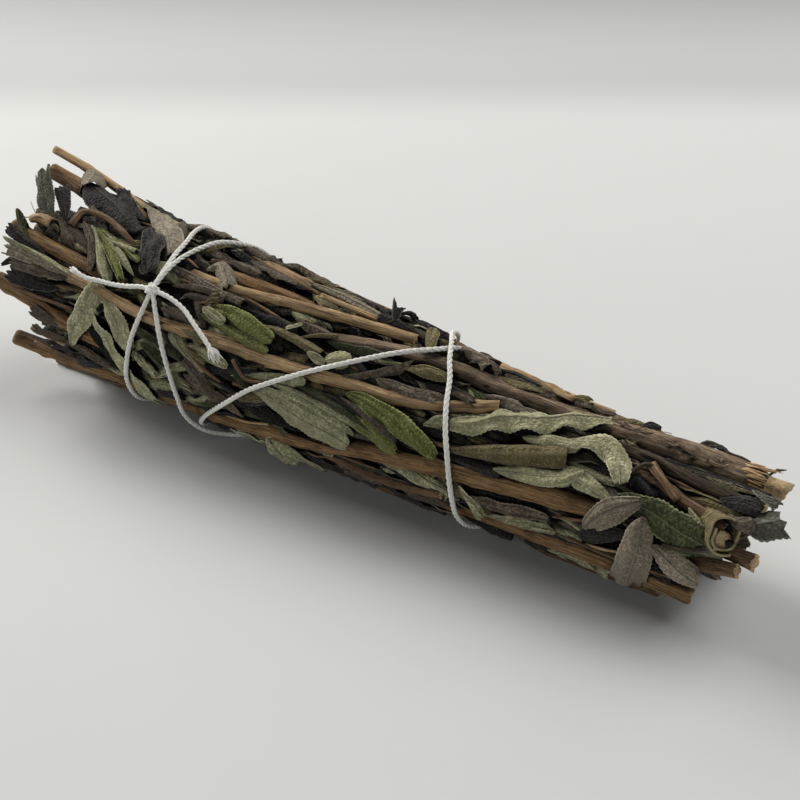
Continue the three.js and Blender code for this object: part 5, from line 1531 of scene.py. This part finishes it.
def build_ring_leaf():
    """A leaf that curls right round a cut stub in the front of the butt, its opening towards the camera."""
    axis = unit(np.array(CAMERA_AWAY) + np.array([0.35, 0.0, -0.12]))
    side = unit(np.cross([0.0, 0.0, 1.0], axis))
    up = np.cross(axis, side)
    middle = place(112.5, 39.5, -0.4) + axis * 1.2

    def bend(across, share):
        turn = across * 4.4 + 0.6
        radius = 2.6 + 0.6 * (across + 1) + 0.12 * np.sin(turn * 4) + 0.25 * share * np.sin(turn * 2 + 1)
        reach_out = (share - 1) * 7 + share * (0.3 * np.sin(turn * 1.5 + 1) + 0.2 * np.sin(turn * 5))
        sideways = side * (np.cos(turn) * radius)[:, None]
        upward = up * (np.sin(turn) * radius * 1.28)[:, None]
        facts = np.stack([2 * share - 1, (across + 1) * 8, np.full_like(share, 0.3)], -1)
        return middle + axis * reach_out[:, None] + sideways + upward, facts

    curled = sheet_piece("leaf_round_stub", [(64, 14, bend)], LEAF_FINISHES["olive"], 0.5, "leaf_place")
    lower = middle - up * 1.5 + side * 0.1
    lumps = stem_radius(2.1, 2.1, 31, 0.02)
    stub = {"path": smooth_path([lower - axis * 8, lower - axis * 1.4], 0.7), "sides": STEM_SIDES,
            "radius_at": lumps, "cap_material": 1, "ragged": 0.1}
    piece = rod_piece("stub_in_leaf", [stub], [STEM_TAN, CUT_WOOD])
    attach(piece, "root")


CORE_SHARE = 0.76              # size of the core, as a share of the outline
CORE_START = -86
CORE_END = 104
CORE_RINGS = 64
CORE_SIDES = 48


def build_core():
    """The crushed leaf inside, near black with painted shade, which closes the view between the leaves."""
    xs = np.linspace(CORE_START, CORE_END, CORE_RINGS)
    bm = bmesh.new()
    path = np.stack([xs, 0 * xs, np.interp(xs, STATION_X, HALF_HEIGHT)], -1)
    lumps = ripple(77, terms=9, turns=(2, 9), lengths=(0.05, 0.5))
    places = add_rod(bm, path, CORE_SIDES, lambda share, turn, length: 1.0)
    for vert, (_, _, length) in places.items():
        x = vert.co.x
        wide, high = outline(x)
        turn = math.atan2(vert.co.z - high, -vert.co.y)
        reach = math.hypot(vert.co.z - high, vert.co.y)
        close = min(1.0, 0.55 + min(x - CORE_START, CORE_END - x) * 0.05)
        size = CORE_SHARE * close * (1 + 0.05 * lumps(turn, length)) * min(1.0, reach)
        spot = np.array([x, -math.cos(turn) * wide * size, high + math.sin(turn) * high * size])
        vert.co = Vector(to_frame(spot))
    piece = finish_piece("crushed_core_painted_shade", bm, [CRUSHED_LEAF_PAINTED_SHADE])
    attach(piece, "root")


def build_stage():
    """A pale floor with painted shade that darkens it softly far behind the bundle, under soft light from
    above and behind.
    """
    bm = bmesh.new()
    bmesh.ops.create_grid(bm, x_segments=2, y_segments=2, size=PAPER_HALF_SIZE)
    shader = Shader("studio_paper", roughness=0.85, specular=0.2)
    where = shader.coordinates()
    east, north, _ = shader.parts(where)
    back = shader.maths("ADD", shader.maths("MULTIPLY", east, BACKWARDS[0]),
                        shader.maths("MULTIPLY", north, BACKWARDS[1]))
    grain = shader.noise(where, 60.0, detail=2.0)
    paper = shader.blend(shader.ramp(grain, 0.0, 0.3, 0.3, 0.8), PAPER, PAPER_GRAIN)
    # painted shade: the paper turns darker far behind the bundle, as a backdrop in less light
    turned_shade = shader.blend(shader.ramp(back, 0.0, 1.0, *TURNED_FROM_TO), paper, PAPER_TURNED_SHADE)
    far = shader.blend(shader.ramp(back, 0.0, 1.0, *FAR_FROM_TO), turned_shade, PAPER_FAR_SHADE)
    shader.finish(far, shader.bump(grain, 0.0001, 0.1))
    floor = finish_piece("studio_floor", bm, [shader.material])

    world = bpy.data.worlds.new("studio")
    world.use_nodes = True
    sky = world.node_tree.nodes["Background"]
    sky.inputs["Color"].default_value = (1.0, 1.0, 1.0, 1.0)
    sky.inputs["Strength"].default_value = SKY_STRENGTH
    bpy.context.scene.world = world
    for name, turn, rise, size, power, colour in LIGHTS:
        turn = math.radians(turn)
        rise = math.radians(rise)
        level = BACKWARDS * math.cos(turn) + Vector((-BACKWARDS.y, BACKWARDS.x, 0)) * -math.sin(turn)
        add_light(name, level * math.cos(rise) + Vector((0, 0, math.sin(rise))), size, power, colour)


def add_light(name, way, size, power, colour):
    light = bpy.data.lights.new(name, "AREA")
    light.size = size
    light.energy = power
    light.color = colour
    holder = bpy.data.objects.new(name, light)
    holder.location = way * LIGHT_DISTANCE
    holder.rotation_euler = way.to_track_quat("Z", "Y").to_euler()
    bpy.context.scene.collection.objects.link(holder)


def build_camera():
    camera = bpy.data.cameras.new("camera")
    camera.lens = CAMERA_LENS
    camera.sensor_width = CAMERA_SENSOR
    camera.clip_start = CAMERA_NEAR
    holder = bpy.data.objects.new("camera", camera)
    holder.location = CAMERA_TARGET + CAMERA_AWAY * CAMERA_DISTANCE
    holder.rotation_euler = CAMERA_AWAY.to_track_quat("Z", "Y").to_euler()
    bpy.context.scene.collection.objects.link(holder)
    bpy.context.scene.camera = holder


build_camera()
build_stage()
build_core()
build_stems()
build_string()
build_stalks()
build_leaves()
build_flakes()
build_ring_leaf()
shade_creases()
bpy.context.scene.view_settings.view_transform = "Standard"
